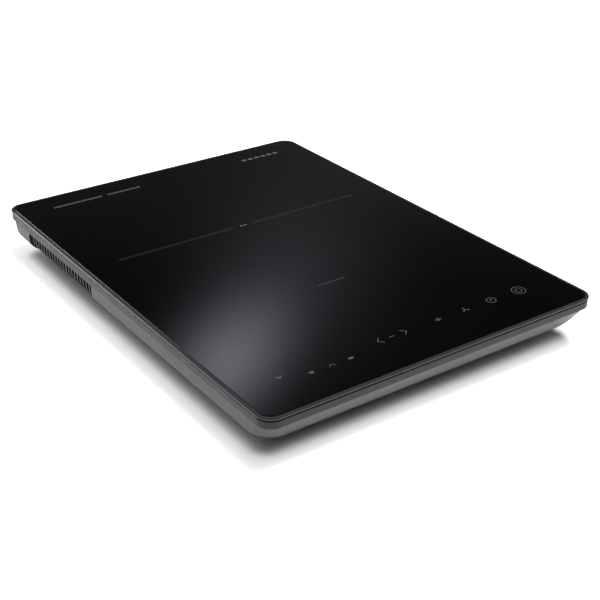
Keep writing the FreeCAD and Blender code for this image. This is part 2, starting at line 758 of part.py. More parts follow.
def cord_gland():
    """Bush for the mains cord: a flange let into the rear wall and a neck through it."""
    section = [
        (GLAND_BORE, -GLAND_NECK_LENGTH),
        (GLAND_NECK, -GLAND_NECK_LENGTH),
        (GLAND_NECK, 0),
        (GLAND_FLANGE, 0),
        (GLAND_FLANGE, GLAND_FLANGE_THICKNESS / 2),
        (GLAND_NECK, GLAND_FLANGE_THICKNESS),
        (GLAND_BORE, GLAND_FLANGE_THICKNESS),
    ]
    return along_rear(revolved(section, 0, 0))


def gland_nut():
    """Six-sided nut inside the rear wall."""
    corners = ring_places(6, GLAND_NUT_RADIUS, 0, 0, 0)
    loop = Part.makePolygon([Vector(x, y, 0) for x, y in corners + corners[:1]])
    nut = Part.Face(loop).extrude(Vector(0, 0, GLAND_NUT_THICKNESS))
    nut = nut.cut(rod(0, 0, 0, GLAND_NECK, GLAND_NUT_THICKNESS))
    return along_rear(moved(nut, 0, 0, -GLAND_WALL - GLAND_NUT_THICKNESS))


# ---- coil ----

def coil_carrier():
    """Spider that carries the coil: hub, arms with side walls for the ferrites, rim and three lugs."""
    hub_radius = COIL_INNER - COIL_MARGIN
    rim_radius = COIL_OUTER + COIL_MARGIN
    wall_top = COIL_TOP - MICA_THICKNESS
    pieces = [
        tube(0, 0, CARRIER_BOTTOM, hub_radius, hub_radius - CARRIER_HUB, wall_top - CARRIER_BOTTOM),
        tube(0, 0, CARRIER_BOTTOM, CARRIER_RADIUS, rim_radius, wall_top - CARRIER_BOTTOM),
        block(0, 0, CARRIER_BOTTOM, 2 * hub_radius - CARRIER_HUB, PROBE_BRIDGE, CARRIER_THICKNESS),
        rod(0, 0, CARRIER_BOTTOM, PROBE_HOLDER_RADIUS, CARRIER_THICKNESS),
    ]
    arm_length = rim_radius + CARRIER_RIM / 2 - hub_radius + CARRIER_HUB / 2
    arm_start = hub_radius - CARRIER_HUB / 2
    wall_width = (ARM_WIDTH - FERRITE_WIDTH) / 2 - FIT
    for count in range(CARRIER_ARMS):
        corner = Vector(arm_start, -ARM_WIDTH / 2, CARRIER_BOTTOM)
        arm = [Part.makeBox(arm_length, ARM_WIDTH, CARRIER_THICKNESS, corner)]
        for y in (-ARM_WIDTH / 2, ARM_WIDTH / 2 - wall_width):
            corner = Vector(hub_radius, y, CARRIER_BOTTOM - FERRITE_THICKNESS)
            arm.append(Part.makeBox(FERRITE_LENGTH + 2 * COIL_MARGIN, wall_width, FERRITE_THICKNESS, corner))
        pieces.append(turned(join(arm), 360 / CARRIER_ARMS * (count + 0.5)))
    for x, y in ring_places(COIL_POSTS, POST_CIRCLE, 90, 0, 0):
        pieces.append(rod(x, y, CARRIER_BOTTOM, CARRIER_LUG, CARRIER_THICKNESS))
    carrier = join(pieces)
    holes = [rod(0, 0, CARRIER_BOTTOM, PROBE_RADIUS + LOOSE, CARRIER_THICKNESS)]
    notch_y = -NOTCH_START - NOTCH_LENGTH / 2
    notch_width = 2 * (CARRIER_RIM + COIL_PITCH)
    holes.append(block(-CARRIER_RADIUS, notch_y, CARRIER_TOP, notch_width, NOTCH_LENGTH, COIL_WIRE))
    for x, y in ring_places(COIL_POSTS, POST_CIRCLE, 90, 0, 0):
        holes.append(rod(x, y, CARRIER_BOTTOM, SCREW_RADIUS + LOOSE, CARRIER_THICKNESS))
    return moved(carrier.cut(holes), 0, COIL_Y)


def strip_width():
    """Width of one turn of the winding."""
    return COIL_PITCH - LOOSE


def coil_winding():
    """Flat spiral of half-turns about two centres, so that each turn runs on into the next."""
    inner_arcs = []
    outer_arcs = []
    for half in range(2 * COIL_TURNS):
        way = 1 if half % 2 == 0 else -1
        centre_x = -way * COIL_PITCH / 4
        radius = COIL_INNER + half * COIL_PITCH / 2
        for arcs, reach in ((inner_arcs, radius), (outer_arcs, radius + strip_width())):
            start = Vector(centre_x + way * reach, 0, 0)
            middle = Vector(centre_x, way * reach, 0)
            finish = Vector(centre_x - way * reach, 0, 0)
            arcs.append(Part.Arc(start, middle, finish).toShape())
    first_end = Part.makeLine(inner_arcs[0].Vertexes[0].Point, outer_arcs[0].Vertexes[0].Point)
    last_end = Part.makeLine(inner_arcs[-1].Vertexes[-1].Point, outer_arcs[-1].Vertexes[-1].Point)
    loop = Part.Wire(Part.__sortEdges__(inner_arcs + outer_arcs + [first_end, last_end]))
    strip = Part.Face(loop).extrude(Vector(0, 0, COIL_WIRE))
    return moved(turned(strip, 180), 0, COIL_Y, CARRIER_TOP)


def ferrite_bars():
    start = COIL_INNER
    base = CARRIER_BOTTOM - FERRITE_THICKNESS
    bars = []
    for count in range(CARRIER_ARMS):
        corner = Vector(start, -FERRITE_WIDTH / 2, base)
        bar = Part.makeBox(FERRITE_LENGTH, FERRITE_WIDTH, FERRITE_THICKNESS, corner)
        bars.append(moved(turned(bar, 360 / CARRIER_ARMS * (count + 0.5)), 0, COIL_Y))
    return group(bars)


def mica_sheet():
    return tube(0, COIL_Y, COIL_TOP, COIL_OUTER, BLANKET_HOLE, MICA_THICKNESS)


def fibre_blanket():
    base = COIL_TOP + MICA_THICKNESS
    return tube(0, COIL_Y, base, COIL_OUTER - COIL_MARGIN, BLANKET_HOLE, BLANKET_THICKNESS)


def coil_springs():
    """Springs of square wire that press the carrier up against the glass."""
    height = CARRIER_BOTTOM - POST_TOP - SPRING_WIRE
    springs = []
    half = SPRING_WIRE / 2
    sides = ((-1, -1), (1, -1), (1, 1), (-1, 1))
    corners = [Vector(SPRING_RADIUS + sx * half, 0, sz * half) for sx, sz in sides]
    for x, y in post_places():
        helix = Part.makeHelix(height / SPRING_TURNS, height, SPRING_RADIUS)
        wire = Part.Wire(helix.Edges).makePipeShell([Part.makePolygon(corners + corners[:1])], True, True)
        springs.append(moved(wire, x, y, POST_TOP + half))
    return group(springs)


def coil_screws():
    length = CARRIER_TOP - POST_TOP + PILOT_DEPTH
    return group([screw(x, y, CARRIER_TOP, length) for x, y in post_places()])


def probe_holder():
    """Rubber sleeve that presses the temperature probe against the glass."""
    return tube(0, COIL_Y, CARRIER_TOP, PROBE_HOLDER_RADIUS, PROBE_RADIUS, GLASS_BOTTOM - CARRIER_TOP)


def temperature_probe():
    return rod(0, COIL_Y, CARRIER_TOP, PROBE_RADIUS, GLASS_BOTTOM - CARRIER_TOP)


# ---- fan ----

def fan_frame():
    """Square frame with a duct ring, a motor base on spokes at the top and a tube for the bearing."""
    flange_top = FAN_THICKNESS - FAN_FLANGE
    body = [
        pad(0, 0, 0, FAN_SIZE, FAN_SIZE, FAN_FLANGE, FAN_CORNER),
        pad(0, 0, flange_top, FAN_SIZE, FAN_SIZE, FAN_FLANGE, FAN_CORNER),
        rod(0, 0, 0, FAN_BORE + FAN_DUCT_WALL, FAN_THICKNESS),
    ]
    holes = [rod(0, 0, 0, FAN_BORE, FAN_THICKNESS)]
    for x, y in square_places(0, 0, FAN_HOLE_PITCH / 2, FAN_HOLE_PITCH / 2):
        body.append(rod(x, y, 0, FAN_SIZE / 2 - FAN_HOLE_PITCH / 2, FAN_THICKNESS))
        holes.append(rod(x, y, 0, SCREW_RADIUS + LOOSE, FAN_THICKNESS))
    square = pad(0, 0, 0, FAN_SIZE, FAN_SIZE, FAN_THICKNESS, FAN_CORNER)
    duct = join(body).common(square).cut(holes)
    base_bottom = FAN_THICKNESS - FAN_BASE_THICKNESS
    motor = [rod(0, 0, base_bottom, FAN_HUB, FAN_BASE_THICKNESS)]
    tube_bottom = fan_tube_bottom()
    motor.append(rod(0, 0, tube_bottom, FAN_TUBE_RADIUS, FAN_THICKNESS - tube_bottom))
    for count in range(FAN_SPOKES):
        corner = Vector(0, -FAN_SPOKE_WIDTH / 2, 0)
        spoke = Part.makeBox(FAN_BORE, FAN_SPOKE_WIDTH, FAN_BASE_THICKNESS, corner)
        motor.append(moved(turned(spoke, 45 + 360 / FAN_SPOKES * count), 0, 0, base_bottom))
    bearing = rod(0, 0, tube_bottom, FAN_BEARING_RADIUS, base_bottom - tube_bottom)
    return moved(join([duct] + motor).cut(bearing), FAN_X, FAN_Y, FAN_BOTTOM)


def fan_tube_bottom():
    """Lower end of the bearing tube, above the base of the frame and clear of the rotor's hub."""
    return FAN_END_GAP + 3 * FAN_HUB_WALL


def fan_bearing():
    base = fan_tube_bottom()
    height = FAN_THICKNESS - FAN_BASE_THICKNESS - base
    sleeve = tube(0, 0, base, FAN_BEARING_RADIUS, FAN_SHAFT_RADIUS + RUNNING, height)
    return moved(sleeve, FAN_X, FAN_Y, FAN_BOTTOM)


def magnet_inner():
    return FAN_HUB - FAN_HUB_WALL - FAN_MAGNET


def fan_stator():
    """Iron core round the bearing tube: poles with curved shoes."""
    base = fan_tube_bottom() + FAN_HUB_WALL / 2
    height = FAN_THICKNESS - FAN_BASE_THICKNESS - 2 * FAN_BOARD_THICKNESS - base
    shoe_outer = magnet_inner() - FAN_AIR_GAP
    shoe_inner = shoe_outer - FAN_HUB_WALL
    core_outer = FAN_TUBE_RADIUS + FAN_MAGNET
    core = [rod(0, 0, base, core_outer, height)]
    gaps = []
    for count in range(FAN_POLES):
        pole = Part.makeBox(shoe_inner + FIT, FAN_POLE_WIDTH, height, Vector(0, -FAN_POLE_WIDTH / 2, base))
        core.append(turned(pole, 360 / FAN_POLES * count))
        corner = Vector(core_outer + FIT, -FAN_POLE_WIDTH / 2, base)
        gap = Part.makeBox(FAN_HUB, FAN_POLE_WIDTH, height, corner)
        gaps.append(turned(gap, 360 / FAN_POLES * (count + 0.5)))
    core.append(tube(0, 0, base, shoe_outer, shoe_inner, height))
    stator = join(core).cut(gaps + [rod(0, 0, base, FAN_TUBE_RADIUS, height)])
    return moved(stator, FAN_X, FAN_Y, FAN_BOTTOM)


def fan_board():
    base = FAN_THICKNESS - FAN_BASE_THICKNESS - FAN_BOARD_THICKNESS
    disc = tube(0, 0, base, magnet_inner() - FAN_AIR_GAP, FAN_TUBE_RADIUS, FAN_BOARD_THICKNESS)
    return moved(disc, FAN_X, FAN_Y, FAN_BOTTOM)


def blade_section(x, pitch, low, high):
    """Thin slanting rectangle across a radius, as tall as the blade and tilted by the pitch."""
    rise = (high - low) / 2
    run = rise / math.tan(math.radians(pitch))
    half = BLADE_THICKNESS / 2 / math.sin(math.radians(pitch))
    corners = [(-run - half, low), (-run + half, low), (run + half, high), (run - half, high)]
    points = [Vector(x, y, z) for y, z in corners]
    return Part.makePolygon(points + points[:1])


def fan_rotor():
    """Cup-shaped hub with twisted blades. The closed end faces the intake grille."""
    cup_bottom = FAN_END_GAP
    cup_top = FAN_THICKNESS - FAN_BASE_THICKNESS - FAN_END_GAP
    hub = rod(0, 0, cup_bottom, FAN_HUB, cup_top - cup_bottom)
    inner = FAN_HUB - FAN_HUB_WALL
    hub = hub.cut(rod(0, 0, cup_bottom + FAN_HUB_WALL, inner, cup_top - cup_bottom))
    boss_top = fan_tube_bottom() - FAN_END_GAP
    pieces = [hub, rod(0, 0, cup_bottom, FAN_BEARING_RADIUS, boss_top - cup_bottom)]
    low = cup_bottom + FIT
    high = cup_top - FIT
    root = math.sqrt((FAN_HUB - FAN_HUB_WALL / 2) ** 2 - ((high - low) / 2) ** 2)
    tip = math.sqrt((FAN_BORE - FAN_TIP_GAP) ** 2 - (high - low) ** 2)
    root_loop = blade_section(root, BLADE_ROOT_ANGLE, low, high)
    blade = Part.makeLoft([root_loop, blade_section(tip, BLADE_TIP_ANGLE, low, high)], True, True)
    blade = blade.cut(rod(0, 0, 0, inner + FIT, FAN_THICKNESS))
    for count in range(FAN_BLADES):
        pieces.append(turned(blade, 360 / FAN_BLADES * count))
    shaft = rod(0, 0, cup_bottom + FAN_HUB_WALL / 2, FAN_SHAFT_RADIUS, FAN_THICKNESS)
    return moved(join(pieces).cut(shaft), FAN_X, FAN_Y, FAN_BOTTOM)


def fan_magnet():
    base = FAN_END_GAP + FAN_HUB_WALL
    height = FAN_THICKNESS - FAN_BASE_THICKNESS - 2 * FAN_END_GAP - base
    ring = tube(0, 0, base, FAN_HUB - FAN_HUB_WALL, magnet_inner(), height)
    return moved(ring, FAN_X, FAN_Y, FAN_BOTTOM)


def fan_shaft():
    base = FAN_END_GAP + FAN_HUB_WALL / 2
    height = FAN_THICKNESS - FAN_BASE_THICKNESS - FIT - base
    return rod(FAN_X, FAN_Y, FAN_BOTTOM + base, FAN_SHAFT_RADIUS, height)


def fan_screws():
    seat = FAN_TOP + HOOD_SEAT
    length = seat - FAN_BOTTOM + PILOT_DEPTH
    return group([screw(x, y, seat, length) for x, y in fan_hole_places()])


def air_hood():
    """Cover over the fan, open to the left, that sends the air along the heatsink's fins."""
    height = TOP_LIMIT - FAN_TOP
    outer = pad(0, 0, 0, FAN_SIZE, FAN_SIZE, height, FAN_CORNER)
    inner_size = FAN_SIZE - 2 * HOOD_WALL
    inner = pad(0, 0, 0, inner_size, inner_size, height - HOOD_WALL, FAN_CORNER - HOOD_WALL)
    mouth = block(-FAN_SIZE / 2, 0, 0, FAN_SIZE / 2, inner_size, height - HOOD_WALL)
    shell = outer.cut([inner, mouth])
    corners = square_places(0, 0, FAN_HOLE_PITCH / 2, FAN_HOLE_PITCH / 2)
    seats = [block(x, y, 0, HOOD_PAD, HOOD_PAD, HOOD_SEAT).common(outer) for x, y in corners]
    holes = [rod(x, y, 0, SCREW_RADIUS + LOOSE, HOOD_SEAT) for x, y in corners]
    reach = [rod(x, y, HOOD_SEAT, SCREW_HEAD_RADIUS + LOOSE, height) for x, y in corners]
    return moved(join([shell] + seats).cut(holes + reach), FAN_X, FAN_Y, FAN_TOP)


# ---- circuit boards and their parts ----

def drilled_board(left, right, front, rear, bottom, places):
    board = Part.makeBox(right - left, rear - front, BOARD_THICKNESS, Vector(left, front, bottom))
    return board.cut([rod(x, y, bottom, SCREW_RADIUS + FIT, BOARD_THICKNESS) for x, y in places])


def power_board():
    places = power_hole_places() + device_places()
    return drilled_board(BOARD_LEFT, BOARD_RIGHT, BOARD_FRONT, BOARD_REAR, BOARD_BOTTOM, places)


def filter_board():
    left = FILTER_X - FILTER_LENGTH / 2
    front = FILTER_Y - FILTER_DEPTH / 2
    right = left + FILTER_LENGTH
    return drilled_board(left, right, front, front + FILTER_DEPTH, BOARD_BOTTOM, filter_hole_places())


def control_board():
    left = -CONTROL_LENGTH / 2
    front = CONTROL_Y - CONTROL_DEPTH / 2
    return drilled_board(left, -left, front, front + CONTROL_DEPTH, CONTROL_BOTTOM, tray_places())


def board_screws():
    length = BOARD_THICKNESS + PILOT_DEPTH
    places = power_hole_places() + filter_hole_places()
    return group([screw(x, y, BOARD_TOP, length) for x, y in places])


def heatsink():
    """Extruded section: a base on two legs, with fins on top, run from right to left."""
    front = SINK_Y - HEATSINK_DEPTH / 2
    rear = SINK_Y + HEATSINK_DEPTH / 2
    base_top = SINK_BOTTOM + HEATSINK_BASE
    section = [
        (front, BOARD_TOP),
        (front + HEATSINK_LEG, BOARD_TOP),
        (front + HEATSINK_LEG, SINK_BOTTOM),
        (rear - HEATSINK_LEG, SINK_BOTTOM),
        (rear - HEATSINK_LEG, BOARD_TOP),
        (rear, BOARD_TOP),
    ]
    pitch = (HEATSINK_DEPTH - FIN_THICKNESS) / (HEATSINK_FINS - 1)
    for count in range(HEATSINK_FINS):
        fin_rear = rear - count * pitch
        if count:
            section.append((fin_rear, base_top))
        section.append((fin_rear, TOP_LIMIT))
        section.append((fin_rear - FIN_THICKNESS, TOP_LIMIT))
        if count < HEATSINK_FINS - 1:
            section.append((fin_rear - FIN_THICKNESS, base_top))
    points = [Vector(SINK_LEFT, y, z) for y, z in section]
    face = Part.Face(Part.makePolygon(points + points[:1]))
    sink = face.extrude(Vector(SINK_RIGHT - SINK_LEFT, 0, 0))
    return sink.cut([rod(x, y, SINK_BOTTOM, SCREW_RADIUS, DEVICE_SCREW_BITE) for x, y in device_places()])


def power_device(place, size):
    """Flat semiconductor package between board and heatsink, with a hole for its screw."""
    x, y = place
    body = block(x, y, BOARD_TOP, size[0], size[1], DEVICE_THICKNESS)
    return body.cut(rod(x, y, BOARD_TOP, SCREW_RADIUS + FIT, DEVICE_THICKNESS))


def igbt():
    return power_device(device_places()[0], IGBT_SIZE)


def bridge_rectifier():
    return power_device(device_places()[1], RECTIFIER_SIZE)


def device_screws():
    length = BOARD_THICKNESS + DEVICE_THICKNESS + DEVICE_SCREW_BITE
    return group([screw(x, y, BOARD_BOTTOM, length, head_below=True) for x, y in device_places()])


def resonant_capacitor():
    length, depth, height = RESONANT_CAPACITOR
    y = SINK_Y + (depth + FILM_CAPACITOR_GAP) / 2
    return pad(ZONE_X, y, BOARD_TOP, length, depth, height, CASE_EDGE)


def bus_capacitor():
    length, depth, height = BUS_CAPACITOR
    y = SINK_Y - (depth + FILM_CAPACITOR_GAP) / 2
    return pad(ZONE_X, y, BOARD_TOP, length, depth, height, CASE_EDGE)


def standby_transformer():
    """Small transformer: a core of two E shapes round a bobbin."""
    length, depth, height = STANDBY_TRANSFORMER
    x = BOARD_LEFT + length / 2 + 2 * BOARD_HOLE_INSET
    y = BOARD_FRONT + depth / 2 + CASE_EDGE
    body_height = height - TRANSFORMER_LIFT
    core = block(x, y, BOARD_TOP + TRANSFORMER_LIFT, length, depth / 2, body_height)
    bobbin = pad(x, y, BOARD_TOP, TRANSFORMER_BOBBIN, depth, body_height, CASE_EDGE)
    return join([core, bobbin])


def storage_capacitors():
    radius, height = STORAGE_CAPACITOR
    step = 2 * radius + PART_GAP
    y = BOARD_FRONT + step
    cans = []
    for count in (1, 2):
        can = rod(SINK_LEFT - count * step, y, BOARD_TOP, radius, height)
        cans.append(can.makeChamfer(CASE_EDGE / 2, level_edges(can, BOARD_TOP + height)))
    return group(cans)


def lead_studs():
    return group([rod(x, y, BOARD_TOP, STUD_RADIUS, STUD_HEIGHT) for x, y in stud_places()])


def lug_axis():
    """Height of the middle of a lug's barrel."""
    return BOARD_TOP + STUD_HEIGHT + LUG_THICKNESS + LITZ_RADIUS


def lead_lugs():
    """Ring terminals on the studs, each with a barrel towards the coil."""
    lugs = []
    base = BOARD_TOP + STUD_HEIGHT
    length = 2 * STUD_RADIUS
    for x, y in stud_places():
        start = Vector(x, y + STUD_RADIUS, lug_axis())
        barrel = Part.makeCylinder(LITZ_RADIUS + LUG_THICKNESS, length, start, Vector(0, 1, 0))
        bore = Part.makeCylinder(LITZ_RADIUS, length, start, Vector(0, 1, 0))
        ring = rod(x, y, base, STUD_RADIUS, LUG_THICKNESS)
        tongue = block(x, y + STUD_RADIUS, base, STUD_RADIUS, length, LUG_THICKNESS)
        lugs.append(join([ring, tongue, barrel]).cut(bore))
    return group(lugs)


def board_connectors():
    length, depth, height = CONNECTOR
    return group([block(x, y, base, length, depth, height) for x, y, base in connector_places().values()])


def mains_terminal():
    """Screw terminal block where the mains cord's wires would end."""
    length, depth, height = MAINS_TERMINAL
    y = FILTER_Y + FILTER_DEPTH / 2 - depth / 2 - FIT
    body = block(FILTER_X, y, BOARD_TOP, length, depth, height)
    step = length / TERMINAL_WAYS
    holes = []
    for count in range(TERMINAL_WAYS):
        x = FILTER_X - length / 2 + (count + 0.5) * step
        inlet_start = Vector(x, y, BOARD_TOP + height / 3)
        holes.append(rod(x, y, BOARD_TOP + height / 2, TERMINAL_HOLE, height / 2))
        holes.append(Part.makeCylinder(TERMINAL_HOLE, depth / 2, inlet_start, Vector(0, 1, 0)))
    return body.cut(holes)


def interference_capacitor():
    length, depth, height = INTERFERENCE_CAPACITOR
    x = FILTER_X - FILTER_LENGTH / 2 + length / 2 + FIT
    return pad(x, FILTER_Y, BOARD_TOP, length, depth, height, CASE_EDGE)


def choke_place():
    return FILTER_X + FILTER_LENGTH / 2 - CHOKE_OUTER - 2 * CHOKE_WIRE, FILTER_Y - CHOKE_WIRE


def choke_core():
    x, y = choke_place()
    return tube(x, y, BOARD_TOP + CHOKE_WIRE, CHOKE_OUTER, CHOKE_INNER, CHOKE_HEIGHT)


def choke_winding():
    """Two coils of wire wrapped round opposite sides of the ring core."""
    x, y = choke_place()
    height = CHOKE_HEIGHT + 2 * CHOKE_WIRE
    wrap = tube(x, y, BOARD_TOP, CHOKE_OUTER + CHOKE_WIRE, CHOKE_INNER - CHOKE_WIRE, height)
    gap = block(x, y, BOARD_TOP, 2 * CHOKE_INNER, 3 * CHOKE_OUTER, height)
    halves = wrap.cut([choke_core(), gap])
    return group(halves.Solids)


def fuse():
    """Glass fuse lying along the board's left side, in a pair of clips."""
    x = BOARD_LEFT + FUSE_RADIUS + CASE_EDGE
    start = Vector(x, SINK_Y - FUSE_LENGTH / 2, BOARD_TOP + 2 * FUSE_RADIUS)
    barrel = Part.makeCylinder(FUSE_RADIUS, FUSE_LENGTH, start, Vector(0, 1, 0))
    clip = FUSE_LENGTH / 4
    clips = []
    for y in (SINK_Y - FUSE_LENGTH / 2 + clip / 2, SINK_Y + FUSE_LENGTH / 2 - clip / 2):
        clips.append(block(x, y, BOARD_TOP, 2 * FUSE_RADIUS, clip, 2 * FUSE_RADIUS))
    return join([barrel] + clips)


# ---- touch controls ----

def control_tray():
    """Moulded tray under the control board, with pads at its screws."""
    length = CONTROL_LENGTH + 2 * CONTROL_MARGIN
    depth = CONTROL_DEPTH + 2 * CONTROL_MARGIN
    height = TRAY_THICKNESS + TRAY_PAD + BOARD_THICKNESS
    tray = pad(0, CONTROL_Y, TRAY_BOTTOM, length, depth, height, 2 * CONTROL_MARGIN)
    inside = (CONTROL_LENGTH + 2 * LOOSE, CONTROL_DEPTH + 2 * LOOSE)
    tray = tray.cut(block(0, CONTROL_Y, TRAY_BOTTOM + TRAY_THICKNESS, *inside, height))
    pads = []
    holes = []
    for x, y in tray_places():
        pads.append(rod(x, y, TRAY_BOTTOM, STANDOFF_RADIUS, TRAY_THICKNESS + TRAY_PAD))
        holes.append(rod(x, y, TRAY_BOTTOM, SCREW_RADIUS + LOOSE, height))
    return join([tray] + pads).cut(holes)


def control_screws():
    length = BOARD_THICKNESS + TRAY_PAD + TRAY_THICKNESS + PILOT_DEPTH
    return group([screw(x, y, CONTROL_TOP, length) for x, y in tray_places()])


def touch_pads():
    """Conductive foam posts that carry each touch through the glass to the board."""
    return group([rod(x, TOUCH_Y, CONTROL_TOP, TOUCH_RADIUS, CONTROL_DROP) for x in TOUCH_PLACES])


def indicator_lights():
    places = [inset - CONTROL_LENGTH / 2 for inset in LIGHT_INSETS]
    return group([rod(x, TOUCH_Y, CONTROL_TOP, LIGHT_RADIUS, LIGHT_HEIGHT) for x in places])


def number_display():
    length, depth, height = DISPLAY_SIZE
    x = (TOUCH_PLACES[1] + TOUCH_PLACES[2]) / 2
    y = CONTROL_Y + CONTROL_DEPTH / 2 - depth / 2 - FIT
    return block(x, y, CONTROL_TOP, length, depth, height)


def control_chip():
    length, depth, height = CHIP_SIZE
    x = (TOUCH_PLACES[3] + TOUCH_PLACES[4]) / 2
    return block(x, CONTROL_Y, CONTROL_TOP, length, depth, height)


def buzzer():
    x = (TOUCH_PLACES[4] + TOUCH_PLACES[5]) / 2
    return tube(x, CONTROL_Y + BUZZER_RADIUS, CONTROL_TOP, BUZZER_RADIUS, BUZZER_HOLE, BUZZER_HEIGHT)


# ---- leads held inside the housing ----

def coil_leads():
    """Litz leads from the two ends of the winding to the lugs on the power board."""
    (outer_x, stud_y), (inner_x, _) = stud_places()
    lug_y = stud_y + 2 * STUD_RADIUS
    lug_z = lug_axis()
    winding_z = CARRIER_TOP + COIL_WIRE / 2
    inner_end = COIL_INNER - COIL_PITCH / 4 + strip_width() / 2
    outer_end = COIL_OUTER - COIL_PITCH + COIL_PITCH / 4 + strip_width() / 2
    outer = [
        (-outer_end, COIL_Y, winding_z),
        (-outer_end, COIL_Y - 15.7, winding_z),
        (-outer_end - 5.2, COIL_Y - 41.7, winding_z),
        (-outer_end - 6.2, COIL_Y - 69.7, 27),
        (outer_x, lug_y + 12, lug_z),
        (outer_x, lug_y, lug_z),
    ]
    inner = [
        (-inner_end, COIL_Y, CARRIER_TOP),
        (-inner_end, COIL_Y, 15.5),
        (-inner_end - 11.2, COIL_Y - 19.7, 14.2),
        (-inner_end - 26.2, COIL_Y - 49.7, 14.5),
        (inner_x + 2, lug_y + 32.5, 17),
        (inner_x, lug_y + 12, lug_z),
        (inner_x, lug_y, lug_z),
    ]
    return group([cord(outer, LITZ_RADIUS), cord(inner, LITZ_RADIUS)])


def mains_lead():
    """Two-core lead from the filter board round the coil's right side to the power board."""
    start_x, start_y, start_z = socket_face("filter", -1)
    end_x, end_y, end_z = socket_face("mains", 1)
    route = [
        (start_x, start_y, start_z),
        (start_x, start_y - 11, start_z),
        (start_x + 5, start_y - 27, 15),
        (start_x + 13, start_y - 50, 12),
        (CARRIER_RADIUS + 10.5, COIL_Y, 11.5),
        (CARRIER_RADIUS + 9, COIL_Y - 35, 11.5),
        (FAN_X + 18, FAN_REAR + 33, 11.8),
        (FAN_X - 8, FAN_REAR + 19, 13),
        (FAN_X - 32, FAN_REAR + 18, 15.5),
        (end_x + 16, end_y + 23, 17.5),
        (end_x + 4, end_y + 16, end_z),
        (end_x, end_y + 8, end_z),
        (end_x, end_y, end_z),
    ]
    return cord(route, MAINS_LEAD_RADIUS)


def fan_lead():
    """Lead from the motor along a spoke, out of the hood's mouth and down to its socket."""
    end_x, end_y, base = connector_places()["fan"]
    route = [
        (FAN_X - 10, FAN_Y - 10, FAN_TOP),
        (FAN_X - 10, FAN_Y - 10, 30.4),
        (FAN_X - 15, FAN_Y - 14.5, 29.8),
        (FAN_X - 25, FAN_Y - 22, 28.2),
        (FAN_X - 38, FAN_Y - 29.5, 27.9),
        (end_x + 10, end_y + 3.5, 27.4),
        (end_x, end_y, 27),
        (end_x, end_y, base + CONNECTOR[2]),
    ]
    return cord(route, THIN_LEAD_RADIUS)


def probe_lead():
    """Lead from the temperature probe down through the carrier and forward under the coil."""
    end_x, end_y, end_z = socket_face("probe", 1)
    route = [
        (0, COIL_Y, CARRIER_TOP),
        (0, COIL_Y, 16.5),
        (-6, COIL_Y - 17.7, 14.9),
        (-12, COIL_Y - 47.7, 14.7),
        (end_x + 2, end_y + 30, 16),
        (end_x, end_y + 13, end_z),
        (end_x, end_y, end_z),
    ]
    return cord(route, THIN_LEAD_RADIUS)


def control_cable():
    """Ribbon from the control board's socket over to the power board's."""
    x, start_y, start_z = socket_face("touch", 1)
    _, end_y, end_base = connector_places()["control"]
    points = [
        Vector(x, start_y, start_z),
        Vector(x, (start_y + end_y) / 2, start_z),
        Vector(x, end_y, start_z + RIBBON_THICKNESS),
        Vector(x, end_y, end_base + CONNECTOR[2]),
    ]
    half = RIBBON_WIDTH / 2
    thick = RIBBON_THICKNESS / 2
    corners = [(-half, -thick), (half, -thick), (half, thick), (-half, thick)]
    section = [Vector(x + across, start_y, start_z + up) for across, up in corners]
    return swept_path(points).makePipeShell([Part.makePolygon(section + section[:1])], True, True)


PIECES = {
    "glass_plate": glass_plate,
    "glass_adhesive": glass_adhesive,
    "top_frame": top_frame,
    "lower_housing": lower_housing,
    "rubber_feet": rubber_feet,
    "housing_screws": housing_screws,
    "cord_gland": cord_gland,
    "gland_nut": gland_nut,
    "coil_carrier": coil_carrier,
    "coil_winding": coil_winding,
    "ferrite_bars": ferrite_bars,
    "mica_sheet": mica_sheet,
    "fibre_blanket": fibre_blanket,
    "coil_springs": coil_springs,
    "coil_screws": coil_screws,
    "probe_holder": probe_holder,
    "temperature_probe": temperature_probe,
    "fan_frame": fan_frame,
    "fan_bearing": fan_bearing,
    "fan_stator": fan_stator,
    "fan_board": fan_board,
    "fan_rotor": fan_rotor,
    "fan_magnet": fan_magnet,
    "fan_shaft": fan_shaft,
    "fan_screws": fan_screws,
    "air_hood": air_hood,
    "power_board": power_board,
    "filter_board": filter_board,
    "board_screws": board_screws,
    "heatsink": heatsink,
    "igbt": igbt,
    "bridge_rectifier": bridge_rectifier,
    "device_screws": device_screws,
    "resonant_capacitor": resonant_capacitor,
    "bus_capacitor": bus_capacitor,
    "standby_transformer": standby_transformer,
    "storage_capacitors": storage_capacitors,
    "lead_studs": lead_studs,
    "lead_lugs": lead_lugs,
    "mains_terminal": mains_terminal,
    "interference_capacitor": interference_capacitor,
    "choke_core": choke_core,
    "choke_winding": choke_winding,
    "fuse": fuse,
    "control_board": control_board,
    "control_tray": control_tray,
    "control_screws": control_screws,
    "touch_pads": touch_pads,
    "indicator_lights": indicator_lights,
    "number_display": number_display,
    "control_chip": control_chip,
    "buzzer": buzzer,
    "board_connectors": board_connectors,
    "coil_leads": coil_leads,
    "mains_lead": mains_lead,
    "fan_lead": fan_lead,
    "probe_lead": probe_lead,
    "control_cable": control_cable,
}


def main():
    os.makedirs("parts", exist_ok=True)
    for name, make in PIECES.items():
        solids = make().Solids
        shape = solids[0] if len(solids) == 1 else group(solids)
        shape.exportStep("parts/" + name + ".step")


main()
